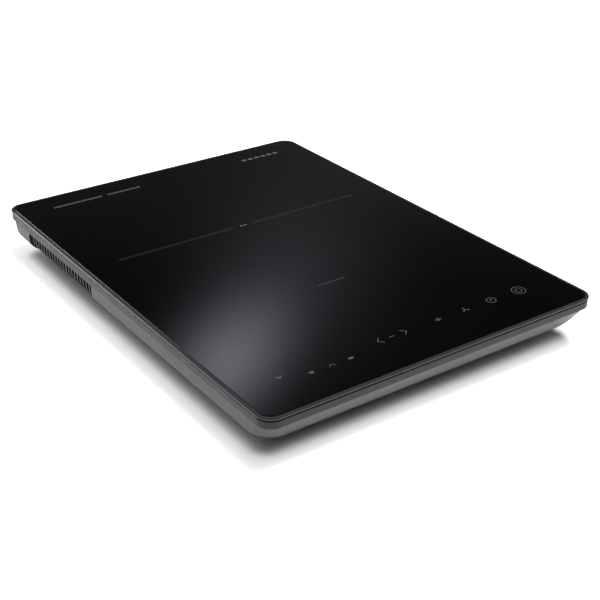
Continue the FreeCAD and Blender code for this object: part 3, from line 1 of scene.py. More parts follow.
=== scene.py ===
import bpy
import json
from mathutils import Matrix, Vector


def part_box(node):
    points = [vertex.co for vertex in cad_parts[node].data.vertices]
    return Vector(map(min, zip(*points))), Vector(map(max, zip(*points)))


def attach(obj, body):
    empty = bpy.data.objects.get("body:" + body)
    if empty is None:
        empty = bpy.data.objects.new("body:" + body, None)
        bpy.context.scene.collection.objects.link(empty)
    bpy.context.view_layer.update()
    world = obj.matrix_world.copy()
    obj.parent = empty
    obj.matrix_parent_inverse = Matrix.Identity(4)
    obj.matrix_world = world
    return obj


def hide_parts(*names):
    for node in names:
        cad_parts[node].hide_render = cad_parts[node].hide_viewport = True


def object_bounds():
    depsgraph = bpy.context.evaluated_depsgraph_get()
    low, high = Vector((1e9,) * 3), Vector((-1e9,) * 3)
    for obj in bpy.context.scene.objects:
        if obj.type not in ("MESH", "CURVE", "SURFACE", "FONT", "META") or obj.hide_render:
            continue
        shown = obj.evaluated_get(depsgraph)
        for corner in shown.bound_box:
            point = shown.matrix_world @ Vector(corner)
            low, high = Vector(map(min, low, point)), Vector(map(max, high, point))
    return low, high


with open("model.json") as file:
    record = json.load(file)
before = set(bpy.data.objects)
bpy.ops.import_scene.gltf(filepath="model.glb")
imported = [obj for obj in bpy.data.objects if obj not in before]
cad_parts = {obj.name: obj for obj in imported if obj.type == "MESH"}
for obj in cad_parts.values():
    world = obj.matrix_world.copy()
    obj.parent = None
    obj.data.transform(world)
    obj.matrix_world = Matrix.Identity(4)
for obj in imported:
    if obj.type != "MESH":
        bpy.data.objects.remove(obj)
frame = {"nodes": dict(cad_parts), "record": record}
CAD_BOX = [list(corner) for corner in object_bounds()]

import json
import math

import bmesh
import bpy
from bpy.props import FloatProperty, FloatVectorProperty, PointerProperty
from mathutils import Vector

bl_info = {
    "name": "Portable Induction Cooktop",
    "version": (1, 0, 0),
    "blender": (4, 5, 0),
    "location": "View3D > Sidebar > Cooktop",
    "description": "Dresses the cooktop frame: finishes, printed marks, feet, screws and coil",
    "category": "Add Mesh",
}

BODY = "cooktop"
MM = 0.001
GLASS_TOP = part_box("glass_plate")[1].z
# Above this height the housing's colour is darkened as painted shade on the upright band under the
# rim.
LIP_SHADE_FIELD = ((-1.0, -1.0, 29.8 * MM), (1.0, 1.0, 1.0))
# Box of the side vent field, darkened as painted shade in its recess.
VENT_SHADE_FIELD = ((-141 * MM, 42.3 * MM, 8.0 * MM), (-119 * MM, 153.9 * MM, 28.4 * MM))

WHITE = (1.0, 1.0, 1.0, 1.0)
SIDES = (-1, 1)
SLANT = math.pi / 4
UPRIGHT = math.pi / 2
FLOW_SPREAD = 0.06
WAVE_LENGTH = math.pi / 10.0  # of a wave texture whose scale is 1
MIX_FIRST, MIX_SECOND, MIX_RESULT = 6, 7, 2  # the colour sockets of a Mix node
LENGTH = {"subtype": "DISTANCE", "unit": "LENGTH", "precision": 6}
COLOUR = {"subtype": "COLOR", "min": 0.0, "max": 1.0}


# ---------------------------------------------------------------- properties


class CooktopSizes(bpy.types.PropertyGroup):
    """Sizes of the printed marks and fittings"""

    print_height: FloatProperty(
        name="Print height",
        description="How far the printed marks stand on the glass",
        default=0.02 * MM,
        **LENGTH,
    )
    line_width: FloatProperty(
        name="Icon line",
        description="Width of the lines that draw the touch marks",
        default=0.5 * MM,
        **LENGTH,
    )
    zone_line: FloatProperty(
        name="Zone line",
        description="Width of the long lines that point at the middle of the coil",
        default=3.0 * MM,
        **LENGTH,
    )
    head_height: FloatProperty(
        name="Screw head",
        description="Height of the head of every screw",
        default=2.0 * MM,
        **LENGTH,
    )
    thread_pitch: FloatProperty(
        name="Thread pitch",
        description="Distance from one thread ring of a screw to the next",
        default=1.2 * MM,
        **LENGTH,
    )
    coil_pitch: FloatProperty(
        name="Coil pitch",
        description="Distance from one turn of the coil to the next",
        default=4.0 * MM,
        **LENGTH,
    )
    strand_lay: FloatProperty(
        name="Strand lay",
        description="Length of coil in which its strands twist once round each other",
        default=36.0 * MM,
        **LENGTH,
    )
    foot_recess: FloatProperty(
        name="Foot recess",
        description="Depth of the dished middle of each rubber foot",
        default=0.8 * MM,
        **LENGTH,
    )


class CooktopColours(bpy.types.PropertyGroup):
    """Colours of the finishes that show most"""

    glass: FloatVectorProperty(
        name="Glass",
        description="Body colour of the black glass ceramic",
        default=(0.0022, 0.0022, 0.0026),
        **COLOUR,
    )
    rim: FloatVectorProperty(
        name="Rim",
        description="Colour of the moulded top frame",
        default=(0.03, 0.03, 0.031),
        **COLOUR,
    )
    # A darker copy of the housing colour, painted as shade on the upright band under the rim.
    lip_shade: FloatVectorProperty(
        name="Lip",
        description="Colour of the darker band round the top of the lower housing",
        default=(0.018, 0.018, 0.0185),
        **COLOUR,
    )
    housing: FloatVectorProperty(
        name="Housing",
        description="Colour of the moulded lower housing",
        default=(0.11, 0.11, 0.112),
        **COLOUR,
    )
    ink: FloatVectorProperty(
        name="Ink",
        description="Colour of the bright printed marks",
        default=(0.085, 0.085, 0.088),
        **COLOUR,
    )
    faint_ink: FloatVectorProperty(
        name="Faint ink",
        description="Colour of the long zone lines",
        default=(0.0095, 0.0095, 0.01),
        **COLOUR,
    )


class StudioSettings(bpy.types.PropertyGroup):
    """Camera, floor and lamps"""

    azimuth: FloatProperty(
        name="Azimuth",
        description="Turn of the camera round the cooktop",
        default=math.radians(-34.91),
        subtype="ANGLE",
    )
    elevation: FloatProperty(
        name="Elevation",
        description="Height of the camera above the horizon",
        default=math.radians(28.105),
        subtype="ANGLE",
    )
    distance: FloatProperty(
        name="Distance",
        description="From the camera to the point it looks at",
        default=0.8985,
        **LENGTH,
    )
    lens: FloatProperty(
        name="Lens",
        description="Focal length in millimetres on a 36 mm sensor",
        default=71.4,
        min=10.0,
    )
    softbox: FloatProperty(
        name="Softbox power",
        description="Power of the large lamp above the cooktop in watts",
        default=25.0,
        min=0.0,
    )
    side_lamp: FloatProperty(
        name="Side lamp power",
        description="Power of the small lamp behind the cooktop on the left in watts",
        default=1.6,
        min=0.0,
    )
    floor: FloatVectorProperty(
        name="Floor",
        description="Colour of the floor",
        default=(0.93, 0.93, 0.93),
        **COLOUR,
    )


# ---------------------------------------------------------------- materials


def feed(tree, value, socket):
    """Links the socket where the value is a node's output, and sets it where it is plain."""
    if isinstance(value, bpy.types.NodeSocket):
        tree.links.new(value, socket)
    else:
        socket.default_value = value


def add_node(tree, kind, inputs, **settings):
    """A new shader node with its settings and what goes into its inputs."""
    node = tree.nodes.new("ShaderNode" + kind)
    for name, value in settings.items():
        setattr(node, name, value)
    for name, value in inputs.items():
        feed(tree, value, node.inputs[name])
    return node


def start_material(name):
    """A new material with its node tree, its shader and the object's own coordinates."""
    material = bpy.data.materials.new(name)
    material.use_nodes = True
    tree = material.node_tree
    shader = tree.nodes["Principled BSDF"]
    place = tree.nodes.new("ShaderNodeTexCoord").outputs["Object"]
    return material, tree, shader, place


def maths(tree, operation, first, second):
    """One step of sums on two numbers."""
    return add_node(tree, "Math", {0: first, 1: second}, operation=operation).outputs[0]


def highest(tree, first, *others):
    """The largest of several numbers."""
    for other in others:
        first = maths(tree, "MAXIMUM", first, other)
    return first


def vector_maths(tree, operation, first, second=None, result="Vector"):
    """One step of sums on one or two vectors."""
    inputs = {0: first} if second is None else {0: first, 1: second}
    return add_node(tree, "VectorMath", inputs, operation=operation).outputs[result]


def scaled(tree, colour, factor):
    """A colour times a number."""
    inputs = {0: colour, "Scale": factor}
    return add_node(tree, "VectorMath", inputs, operation="SCALE").outputs["Vector"]


def height_of(tree, place):
    """The upward part of a place or a direction."""
    return add_node(tree, "SeparateXYZ", {"Vector": place}).outputs["Z"]


def stretched(tree, place, stretch):
    """The coordinates scaled by a factor along each axis."""
    return add_node(tree, "Mapping", {"Vector": place, "Scale": stretch}).outputs["Vector"]


def cloud(tree, place, size, detail):
    """Soft noise with blobs of about this size."""
    inputs = {"Vector": place, "Scale": 1.0 / size, "Detail": detail}
    return add_node(tree, "TexNoise", inputs).outputs["Fac"]


def cells(tree, place, size, randomness=1.0):
    """Distance from the middle of each cell of about this size."""
    inputs = {"Vector": place, "Scale": 1.0 / size, "Randomness": randomness}
    return add_node(tree, "TexVoronoi", inputs).outputs["Distance"]


def bands(tree, place, size, direction, distortion=0.0):
    """Regular bands, one every given length."""
    inputs = {"Vector": place, "Scale": WAVE_LENGTH / size, "Distortion": distortion}
    return add_node(tree, "TexWave", inputs, bands_direction=direction).outputs["Fac"]


def levels(tree, factor, low, high, start=0.3, end=0.7):
    """The factor stretched so that start gives low and end gives high."""
    inputs = {"Value": factor, "From Min": start, "From Max": end, "To Min": low, "To Max": high}
    return add_node(tree, "MapRange", inputs).outputs["Result"]


def curve(tree, factor, stops):
    """The factor bent through a row of places and values."""
    node = add_node(tree, "ValToRGB", {"Fac": factor})
    for place, _ in stops[1:-1]:
        node.color_ramp.elements.new(place)
    for stop, (place, value) in zip(node.color_ramp.elements, stops):
        stop.position = place
        stop.color = (value, value, value, 1.0)
    return node.outputs["Color"]


def mixed(tree, factor, first, second):
    """The first colour where the factor is nothing, the second where it is one."""
    inputs = {"Factor": factor, MIX_FIRST: first, MIX_SECOND: second}
    return add_node(tree, "Mix", inputs, data_type="RGBA").outputs[MIX_RESULT]


def between(tree, factor, first, second, start=0.3, end=0.7):
    """A colour that runs from the first to the second by the factor."""
    share = levels(tree, factor, 0.0, 1.0, start, end)
    return mixed(tree, share, (*first, 1.0), (*second, 1.0))


def shades(colour, spread):
    """The colour made darker and lighter by a share of it."""
    dark = [channel * (1.0 - spread) for channel in colour]
    light = [min(channel * (1.0 + spread), 1.0) for channel in colour]
    return dark, light


def paint(tree, shader, factor, colour, spread, start=0.3, end=0.7):
    """Base colour that wanders round the given colour by a share of it."""
    tint = between(tree, factor, *shades(colour, spread), start, end)
    tree.links.new(tint, shader.inputs["Base Color"])


def dull(tree, shader, factor, roughness, spread):
    """Roughness that wanders round the given value."""
    rough = min(roughness * (1.0 + spread), 1.0)
    value = levels(tree, factor, roughness * (1.0 - spread), rough)
    tree.links.new(value, shader.inputs["Roughness"])


def relief(tree, shader, factor, height):
    """Fine surface relief of the given height in metres."""
    bump = add_node(tree, "Bump", {"Height": factor, "Distance": height})
    tree.links.new(bump.outputs["Normal"], shader.inputs["Normal"])


def beyond(tree, place, middle, reach):
    """How far a place is outside a box, from the box's middle and its reach to each side."""
    away = vector_maths(tree, "ABSOLUTE", vector_maths(tree, "SUBTRACT", place, middle))
    past = vector_maths(tree, "SUBTRACT", away, reach)
    over = vector_maths(tree, "MAXIMUM", past, (0.0, 0.0, 0.0))
    return vector_maths(tree, "LENGTH", over, result="Value")


def inside_box(tree, place, low, high):
    """One inside a box, nothing outside it, with a thin soft edge."""
    edge = 0.2 * MM
    middle = [(a + b) / 2 for a, b in zip(low, high)]
    reach = [(b - a) / 2 for a, b in zip(low, high)]
    return levels(tree, beyond(tree, place, middle, reach), 1.0, 0.0, 0.0, edge)


def flow(tree, place):
    """Slow flow marks of moulded plastic."""
    return cloud(tree, place, 22 * MM, 4.0)


def plastic_skin(tree, shader, place, roughness, grain=0.5 * MM):
    """Satin skin of moulded plastic with a fine sparked grain."""
    dull(tree, shader, cloud(tree, place, 3 * MM, 5.0), roughness, 0.12)
    relief(tree, shader, cloud(tree, place, grain, 3.0), 0.006 * MM)


def moulded(name, colour, roughness, grain=0.5 * MM, shine=0.5):
    """Moulded plastic: flow marks in the colour, grain in the surface."""
    material, tree, shader, place = start_material(name)
    paint(tree, shader, flow(tree, place), colour, FLOW_SPREAD)
    plastic_skin(tree, shader, place, roughness, grain)
    shader.inputs["IOR"].default_value = 1.5
    shader.inputs["Specular IOR Level"].default_value = shine
    return material


def housing_plastic(name, colour, shade_colour, roughness):
    """Moulded plastic with painted shade: its colour is darker on the upright band under the rim
    and in the field of the side vent slots.
    """
    material, tree, shader, place = start_material(name)
    marks = flow(tree, place)
    light = between(tree, marks, *shades(colour, FLOW_SPREAD))
    # Darker copy of the plastic's colour, used as painted shade.
    dark = between(tree, marks, *shades(shade_colour, FLOW_SPREAD))
    lip_shade = inside_box(tree, place, *LIP_SHADE_FIELD)
    vent_shade = inside_box(tree, place, *VENT_SHADE_FIELD)
    # Painted shade: the darker copy on the upright band and in the vent field.
    tint = mixed(tree, highest(tree, lip_shade, vent_shade), light, dark)
    tree.links.new(tint, shader.inputs["Base Color"])
    plastic_skin(tree, shader, place, roughness)
    shader.inputs["Specular IOR Level"].default_value = 0.3
    return material


def rubber(name, colour):
    """Matt rubber with a bloom and small pores."""
    material, tree, shader, place = start_material(name)
    paint(tree, shader, cloud(tree, place, 6 * MM, 6.0), colour, 0.25)
    dull(tree, shader, cloud(tree, place, 2 * MM, 4.0), 0.75, 0.15)
    relief(tree, shader, cells(tree, place, 0.4 * MM), 0.012 * MM)
    return material


def metal(name, colour, roughness, stretch=(1.0, 1.0, 1.0)):
    """Bare metal with drawn or rolled lines along the less stretched axis and a slight tarnish."""
    material, tree, shader, place = start_material(name)
    shader.inputs["Metallic"].default_value = 1.0
    drawn = stretched(tree, place, stretch)
    paint(tree, shader, cloud(tree, place, 5 * MM, 5.0), colour, 0.12)
    dull(tree, shader, cloud(tree, drawn, 0.8 * MM, 5.0), roughness, 0.3)
    relief(tree, shader, cloud(tree, drawn, 0.3 * MM, 3.0), 0.004 * MM)
    return material


def sleeve(name, colour):
    """Soft insulated lead: smooth skin, slight unevenness from the strands under it."""
    material, tree, shader, place = start_material(name)
    paint(tree, shader, cloud(tree, place, 9 * MM, 4.0), colour, 0.1)
    dull(tree, shader, cloud(tree, place, 1.5 * MM, 4.0), 0.5, 0.15)
    relief(tree, shader, cloud(tree, place, 0.9 * MM, 2.0), 0.03 * MM)
    return material


def braided(name, colour):
    """Woven fibre sleeve: two crossing sets of bands with fuzz."""
    material, tree, shader, place = start_material(name)
    first = bands(tree, place, 0.9 * MM, "DIAGONAL")
    turned = stretched(tree, place, (-1.0, 1.0, 1.0))
    second = bands(tree, turned, 0.9 * MM, "DIAGONAL")
    weave = highest(tree, first, second)
    paint(tree, shader, weave, colour, 0.3, 0.2, 1.0)
    dull(tree, shader, cloud(tree, place, 0.5 * MM, 4.0), 0.8, 0.1)
    relief(tree, shader, weave, 0.12 * MM)
    return material


def litz(name, colour):
    """Bundle of fine varnished copper strands, seen as slanting bands."""
    material, tree, shader, place = start_material(name)
    shader.inputs["Metallic"].default_value = 0.85
    strands = bands(tree, place, 0.35 * MM, "DIAGONAL", distortion=1.2)
    paint(tree, shader, strands, colour, 0.35, 0.0, 1.0)
    dull(tree, shader, cloud(tree, place, 1.2 * MM, 4.0), 0.38, 0.25)
    relief(tree, shader, strands, 0.05 * MM)
    shader.inputs["Coat Weight"].default_value = 0.3
    shader.inputs["Coat Roughness"].default_value = 0.2
    return material


def laminate(name, mask, copper):
    """Circuit board: solder mask over a web of copper tracks."""
    material, tree, shader, place = start_material(name)
    inputs = {"Vector": place, "Scale": 55.0, "Mortar Size": 0.05, "Mortar Smooth": 0.0}
    brick = add_node(tree, "TexBrick", inputs, offset=0.37, squash=1.6)
    tint = between(tree, brick.outputs["Fac"], mask, copper, 0.2, 0.8)
    tree.links.new(tint, shader.inputs["Base Color"])
    weave = cloud(tree, stretched(tree, place, (1.0, 4.0, 1.0)), 0.5 * MM, 2.0)
    dull(tree, shader, weave, 0.38, 0.2)
    relief(tree, shader, brick.outputs["Fac"], 0.03 * MM)
    return material


def wool(name, colour):
    """Pressed ceramic fibre: a mat of crossing threads."""
    material, tree, shader, place = start_material(name)
    threads = cloud(tree, stretched(tree, place, (1.0, 6.0, 6.0)), 1.2 * MM, 6.0)
    across = cloud(tree, stretched(tree, place, (6.0, 1.0, 6.0)), 1.2 * MM, 6.0)
    mat = highest(tree, threads, across)
    paint(tree, shader, mat, colour, 0.1)
    shader.inputs["Roughness"].default_value = 0.95
    shader.inputs["Sheen Weight"].default_value = 0.2
    relief(tree, shader, mat, 0.15 * MM)
    return material


def flaked(name, colour):
    """Pressed mica: overlapping pearly flakes."""
    material, tree, shader, place = start_material(name)
    flakes = cells(tree, place, 2.4 * MM)
    paint(tree, shader, flakes, colour, 0.25, 0.0, 0.8)
    dull(tree, shader, flakes, 0.35, 0.3)
    relief(tree, shader, cells(tree, place, 1.1 * MM), 0.02 * MM)
    shader.inputs["Sheen Weight"].default_value = 0.15
    return material


def fired(name, colour):
    """Pressed and fired ceramic or ferrite: matt with coarse specks and tool marks."""
    material, tree, shader, place = start_material(name)
    paint(tree, shader, cells(tree, place, 0.8 * MM), colour, 0.35, 0.0, 0.9)
    dull(tree, shader, cloud(tree, place, 2 * MM, 5.0), 0.6, 0.2)
    relief(tree, shader, cloud(tree, place, 0.35 * MM, 4.0), 0.02 * MM)
    return material


def laminated_iron(name, colour):
    """Stack of punched iron sheets, seen as fine level lines."""
    material, tree, shader, place = start_material(name)
    stack = bands(tree, place, 0.5 * MM, "Z")
    shader.inputs["Metallic"].default_value = 0.9
    paint(tree, shader, stack, colour, 0.4, 0.0, 1.0)
    dull(tree, shader, cloud(tree, place, 1.5 * MM, 4.0), 0.5, 0.25)
    relief(tree, shader, stack, 0.04 * MM)
    return material


def clear_resin(name, colour, roughness=0.12, transmission=0.7):
    """Clear or tinted casting resin with a faint ripple."""
    material, tree, shader, place = start_material(name)
    paint(tree, shader, cloud(tree, place, 2 * MM, 3.0), colour, 0.08)
    dull(tree, shader, cloud(tree, place, 1 * MM, 3.0), roughness, 0.2)
    relief(tree, shader, cloud(tree, place, 1.5 * MM, 2.0), 0.01 * MM)
    shader.inputs["Transmission Weight"].default_value = transmission
    shader.inputs["IOR"].default_value = 1.52
    return material


def black_glass(name, colour):
    """Polished glass ceramic, dark right through: faint wipe marks in its gloss, ground edges."""
    material, tree, shader, place = start_material(name)
    paint(tree, shader, cloud(tree, place, 60 * MM, 2.0), colour, 0.06)
    wipes = cloud(tree, stretched(tree, place, (1.0, 3.0, 1.0)), 18 * MM, 6.0)
    edge = GLASS_TOP - 0.05 * MM
    ground = levels(tree, height_of(tree, place), 0.45, 0.0, edge, GLASS_TOP)
    rough = highest(tree, levels(tree, wipes, 0.055, 0.075), ground)
    tree.links.new(rough, shader.inputs["Roughness"])
    shader.inputs["IOR"].default_value = 1.5
    return material


def ink(name, colour, roughness=0.35):
    """Ceramic screen print: fired dots that run into each other."""
    material, tree, shader, place = start_material(name)
    paint(tree, shader, cells(tree, place, 0.16 * MM, 0.3), colour, 0.12, 0.1, 0.7)
    dull(tree, shader, cloud(tree, place, 0.5 * MM, 3.0), roughness, 0.15)
    relief(tree, shader, cells(tree, place, 0.16 * MM, 0.3), 0.003 * MM)
    shader.inputs["IOR"].default_value = 1.5
    return material


def make_finishes(colours):
    """Every finish by the name of its slot in the record."""
    steel = (0.56, 0.57, 0.58)
    return {
        "cooktop_glass": black_glass("black_glass", colours.glass),
        "frame_plastic": moulded("rim_satin", colours.rim, 0.3, shine=0.32),
        "housing_plastic": housing_plastic("housing_satin_painted_shade", colours.housing, colours.lip_shade, 0.48),
        "sealant": rubber("silicone_bead", (0.02, 0.02, 0.022)),
        "foot_rubber": rubber("foot_rubber", (0.03, 0.03, 0.031)),
        "screw_steel": metal("zinc_screw", steel, 0.32),
        "gland_plastic": moulded("gland_nylon", (0.035, 0.035, 0.037), 0.4),
        "carrier_plastic": moulded("carrier_resin", (0.62, 0.6, 0.55), 0.5, 0.8 * MM),
        "coil_copper": litz("varnished_copper", (0.72, 0.32, 0.14)),
        "ferrite": fired("ferrite_grey", (0.06, 0.06, 0.065)),
        "mica": flaked("pressed_mica", (0.42, 0.36, 0.26)),
        "fibre_wool": wool("ceramic_wool", (0.78, 0.77, 0.74)),
        "spring_steel": metal("spring_wire", (0.5, 0.51, 0.52), 0.25, (1.0, 1.0, 6.0)),
        "probe_rubber": rubber("probe_silicone", (0.45, 0.12, 0.08)),
        "probe_glass": clear_resin("probe_bead", (0.5, 0.5, 0.5)),
        "fan_plastic": moulded("fan_nylon", (0.022, 0.022, 0.024), 0.42),
        "bearing_bronze": metal("oiled_bronze", (0.6, 0.4, 0.18), 0.4),
        "core_iron": laminated_iron("core_sheets", (0.35, 0.34, 0.33)),
        "board_laminate": laminate("board_green", (0.02, 0.12, 0.045), (0.05, 0.2, 0.07)),
        "magnet_ferrite": fired("magnet_black", (0.035, 0.034, 0.034)),
        "shaft_steel": metal("ground_shaft", (0.62, 0.62, 0.63), 0.15, (6.0, 6.0, 1.0)),
        "heatsink_metal": metal("extruded_aluminium", (0.78, 0.79, 0.8), 0.38, (1.0, 9.0, 9.0)),
        "device_epoxy": moulded("device_epoxy", (0.018, 0.018, 0.019), 0.55, 0.3 * MM),
        "film_case": moulded("film_case_yellow", (0.6, 0.42, 0.06), 0.4),
        "bus_case": moulded("bus_case_blue", (0.05, 0.12, 0.36), 0.4),
        "bobbin_tape": moulded("bobbin_tape", (0.72, 0.6, 0.12), 0.3, 2.0 * MM),
        "can_sleeve": moulded("can_sleeve", (0.02, 0.05, 0.16), 0.25),
        "stud_brass": metal("turned_brass", (0.78, 0.58, 0.24), 0.28, (1.0, 1.0, 8.0)),
        "lug_tin": metal("tinned_lug", (0.66, 0.66, 0.65), 0.35),
        "terminal_plastic": moulded("terminal_green", (0.05, 0.3, 0.12), 0.45),
        "suppressor_case": moulded("suppressor_case", (0.55, 0.2, 0.05), 0.4),
        "fuse_glass": clear_resin("fuse_glass", (0.8, 0.82, 0.82), 0.05, 0.9),
        "touch_foam": rubber("touch_foam", (0.05, 0.05, 0.052)),
        "light_resin": clear_resin("light_resin", (0.7, 0.2, 0.16)),
        "display_resin": clear_resin("display_resin", (0.08, 0.02, 0.02), 0.2, 0.4),
        "socket_nylon": moulded("socket_nylon", (0.75, 0.72, 0.64), 0.45),
        "lead_braid": braided("glass_braid", (0.72, 0.7, 0.62)),
        "lead_black": sleeve("lead_black", (0.02, 0.02, 0.021)),
        "lead_grey": sleeve("lead_grey", (0.32, 0.33, 0.34)),
        "ink": ink("white_ink", colours.ink),
        "soft_ink": ink("soft_ink", [3.0 * channel for channel in colours.faint_ink], 0.2),
        "faint_ink": ink("faint_ink", colours.faint_ink, 0.12),
    }


NODE_SLOTS = {part["node"]: part["material_slot"] for part in frame["record"]["subparts"]}
FINISHES = {}


# ---------------------------------------------------------------- modelling


def clear_selection():
    """Leaves edit mode and lets go of everything."""
    if bpy.context.object is not None and bpy.context.object.mode != "OBJECT":
        bpy.ops.object.mode_set(mode="OBJECT")
    bpy.ops.object.select_all(action="DESELECT")


def select_only(piece, *others):
    """Selects these pieces and nothing else, the first as the active one."""
    clear_selection()
    for chosen in (piece, *others):
        chosen.select_set(True)
    bpy.context.view_layer.objects.active = piece


def edit_all():
    """Goes into edit mode with everything selected."""
    bpy.ops.object.mode_set(mode="EDIT")
    bpy.ops.mesh.select_all(action="SELECT")


def choose(piece, wanted):
    """Selects the faces of the piece in edit mode that the test wants."""
    mesh = bmesh.from_edit_mesh(piece.data)
    for item in [*mesh.verts, *mesh.edges, *mesh.faces]:
        item.select = False
    for face in mesh.faces:
        if wanted(face):
            face.select_set(True)
    mesh.select_flush_mode()
    bmesh.update_edit_mesh(piece.data)


def turn_out():
    """Makes all faces in edit mode point outwards and leaves it."""
    bpy.ops.mesh.select_all(action="SELECT")
    bpy.ops.mesh.normals_make_consistent(inside=False)
    bpy.ops.object.mode_set(mode="OBJECT")


def close(piece, angle=math.radians(35)):
    """Closes edit mode with the faces outwards and shades the gentle edges smooth."""
    turn_out()
    select_only(piece)
    bpy.ops.object.shade_smooth_by_angle(angle=angle)


def together(pieces):
    """Joins the pieces into one."""
    select_only(*pieces)
    if len(pieces) > 1:
        bpy.ops.object.join()
    return pieces[0]


def settle(piece, name, slot, finish=None):
    """Names the finished piece, puts its place into its mesh and gives it its finish and body."""
    select_only(piece)
    bpy.ops.object.transform_apply(location=True, rotation=True, scale=True)
    piece.name = name
    piece.data.name = name
    piece.data.materials.clear()
    piece.data.materials.append(FINISHES[finish or slot])
    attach(piece, BODY)
    return piece


def printed(parts, name, finish="ink"):
    """Joins and settles the parts of one printed mark on the glass."""
    return settle(together(parts), name, "cooktop_glass", finish)


def solids(node):
    """Lowest and highest corner of each separate solid of a node, from left to right."""
    mesh = bmesh.new()
    mesh.from_mesh(frame["nodes"][node].data)
    bmesh.ops.remove_doubles(mesh, verts=mesh.verts, dist=0.001 * MM)
    waiting = set(mesh.verts)
    boxes = []
    while waiting:
        front = [waiting.pop()]
        points = []
        while front:
            vertex = front.pop()
            points.append(vertex.co.copy())
            for edge in vertex.link_edges:
                other = edge.other_vert(vertex)
                if other in waiting:
                    waiting.remove(other)
                    front.append(other)
        boxes.append((Vector(map(min, zip(*points))), Vector(map(max, zip(*points)))))
    mesh.free()
    return sorted(boxes, key=lambda box: (box[0].x, box[0].y))


def centre(low, high):
    """Middle of a box as seen from above."""
    return (low.x + high.x) / 2, (low.y + high.y) / 2


def centres(node):
    """Middle of each separate solid of a node as seen from above, from left to right."""
    return [centre(*box) for box in solids(node)]


def round_face(place, radius, sides):
    """Adds a flat round face."""
    clear_selection()
    bpy.ops.mesh.primitive_circle_add(
        vertices=sides, radius=radius, fill_type="NGON", location=place
    )
    return bpy.context.object


def disc(radius, height, sides):
    """Flat disc on the upright axis, left in edit mode and selected, ready to grow."""
    piece = round_face((0, 0, height), radius, sides)
    bpy.ops.object.transform_apply(location=True, rotation=False, scale=False)
    edit_all()
    return piece


def grow(radius, steps):
    """Extrudes the selected disc upwards, each step to a rise and a new radius."""
    for rise, wide in steps:
        bpy.ops.mesh.extrude_region_move(TRANSFORM_OT_translate={"value": (0, 0, rise)})
        factor = wide / radius
        bpy.ops.transform.resize(value=(factor, factor, 1.0), center_override=(0, 0, 0))
        radius = wide


def carve(piece, cutter):
    """Takes the cutter away from the piece and throws the cutter away."""
    select_only(piece)
    step = piece.modifiers.new("carve", "BOOLEAN")
    step.operation = "DIFFERENCE"
    step.solver = "EXACT"
    step.object = cutter
    bpy.ops.object.modifier_apply(modifier=step.name)
    bpy.data.objects.remove(cutter, do_unlink=True)


def set_out(piece, places):
    """Moves the piece to the first place and a copy of it to each other one."""
    pieces = [piece]
    for _ in places[1:]:
        select_only(piece)
        bpy.ops.object.duplicate(linked=False)
        pieces.append(bpy.context.object)
    for copy, place in zip(pieces, places):
        copy.location = place
    return pieces


def lift():
    """Raises the face in edit mode to the height of the print and closes edit mode."""
    height = bpy.context.scene.cooktop_sizes.print_height
    bpy.ops.mesh.extrude_region_move(TRANSFORM_OT_translate={"value": (0, 0, height)})
    turn_out()


def bar(x, y, length, width, turn=0.0):
    """Printed bar with rounded ends, its middle at x and y, turned about it."""
    clear_selection()
    bpy.ops.mesh.primitive_plane_add(size=1.0, location=(x, y, GLASS_TOP), rotation=(0, 0, turn))
    piece = bpy.context.object
    piece.scale = (length, width, 1.0)
    bpy.ops.object.transform_apply(location=False, rotation=False, scale=True)
    corner = 0.48 * min(length, width)
    bpy.ops.object.mode_set(mode="EDIT")
    bpy.ops.mesh.bevel(offset=corner, affect="VERTICES", segments=4)
    bpy.ops.mesh.select_all(action="SELECT")
    lift()
    return piece


def stroke(middle, x, y, length, width, turn=0.0):
    """Printed bar of a mark: its offset from the mark's middle and its length in millimetres."""
    return bar(middle[0] + x * MM, middle[1] + y * MM, length * MM, width, turn)


def dot(x, y, radius):
    """Printed round dot."""
    piece = round_face((x, y, GLASS_TOP), radius, 20)
    edit_all()
    lift()
    return piece


def ring(x, y, radius, width, opening=0.0):
    """Printed ring, left open by the given angle at the rear."""
    piece = round_face((x, y, GLASS_TOP), radius, 48)
    edit_all()
    bpy.ops.mesh.inset(thickness=width)
    bpy.ops.mesh.delete(type="FACE")

    def in_gap(face):
        middle = face.calc_center_median()
        return abs(math.atan2(middle.x, middle.y)) < opening / 2

    if opening:
        choose(piece, in_gap)
        bpy.ops.mesh.delete(type="FACE")
    bpy.ops.mesh.select_all(action="SELECT")
    lift()
    return piece


# ---------------------------------------------------------------- operators


class COOKTOP_OT_finishes(bpy.types.Operator):
    """Make every finish and give it to the parts of the frame"""

    bl_idname = "cooktop.finishes"
    bl_label = "Finishes"

    def execute(self, context):
        FINISHES.update(make_finishes(context.scene.cooktop_colours))
        for node, slot in NODE_SLOTS.items():
            mesh = frame["nodes"][node].data
            mesh.materials.clear()
            mesh.materials.append(FINISHES[slot])
        return {"FINISHED"}


class COOKTOP_OT_zone_marks(bpy.types.Operator):
    """Print the lines and dots that mark the cooking zone"""

    bl_idname = "cooktop.zone_marks"
    bl_label = "Zone marks"

    def execute(self, context):
        line = context.scene.cooktop_sizes.zone_line
        middle = centre(*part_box("coil_winding"))
        reach, gap = 109.4, 8.0
        across = (gap + reach) / 2
        lines = [stroke(middle, side * across, 0.0, reach - gap, line) for side in SIDES]
        printed(lines, "zone_lines", "faint_ink")
        tick = stroke(middle, 0.6, -118.8, 24.0, line * 0.45)
        printed([tick], "zone_front_tick", "soft_ink")
        shift, spacing, radius = 0.8, 1.7, 1.25 * MM
        dots = [
            dot(middle[0] + (shift + side * spacing) * MM, middle[1], radius) for side in SIDES
        ]
        printed(dots, "zone_centre")
        return {"FINISHED"}


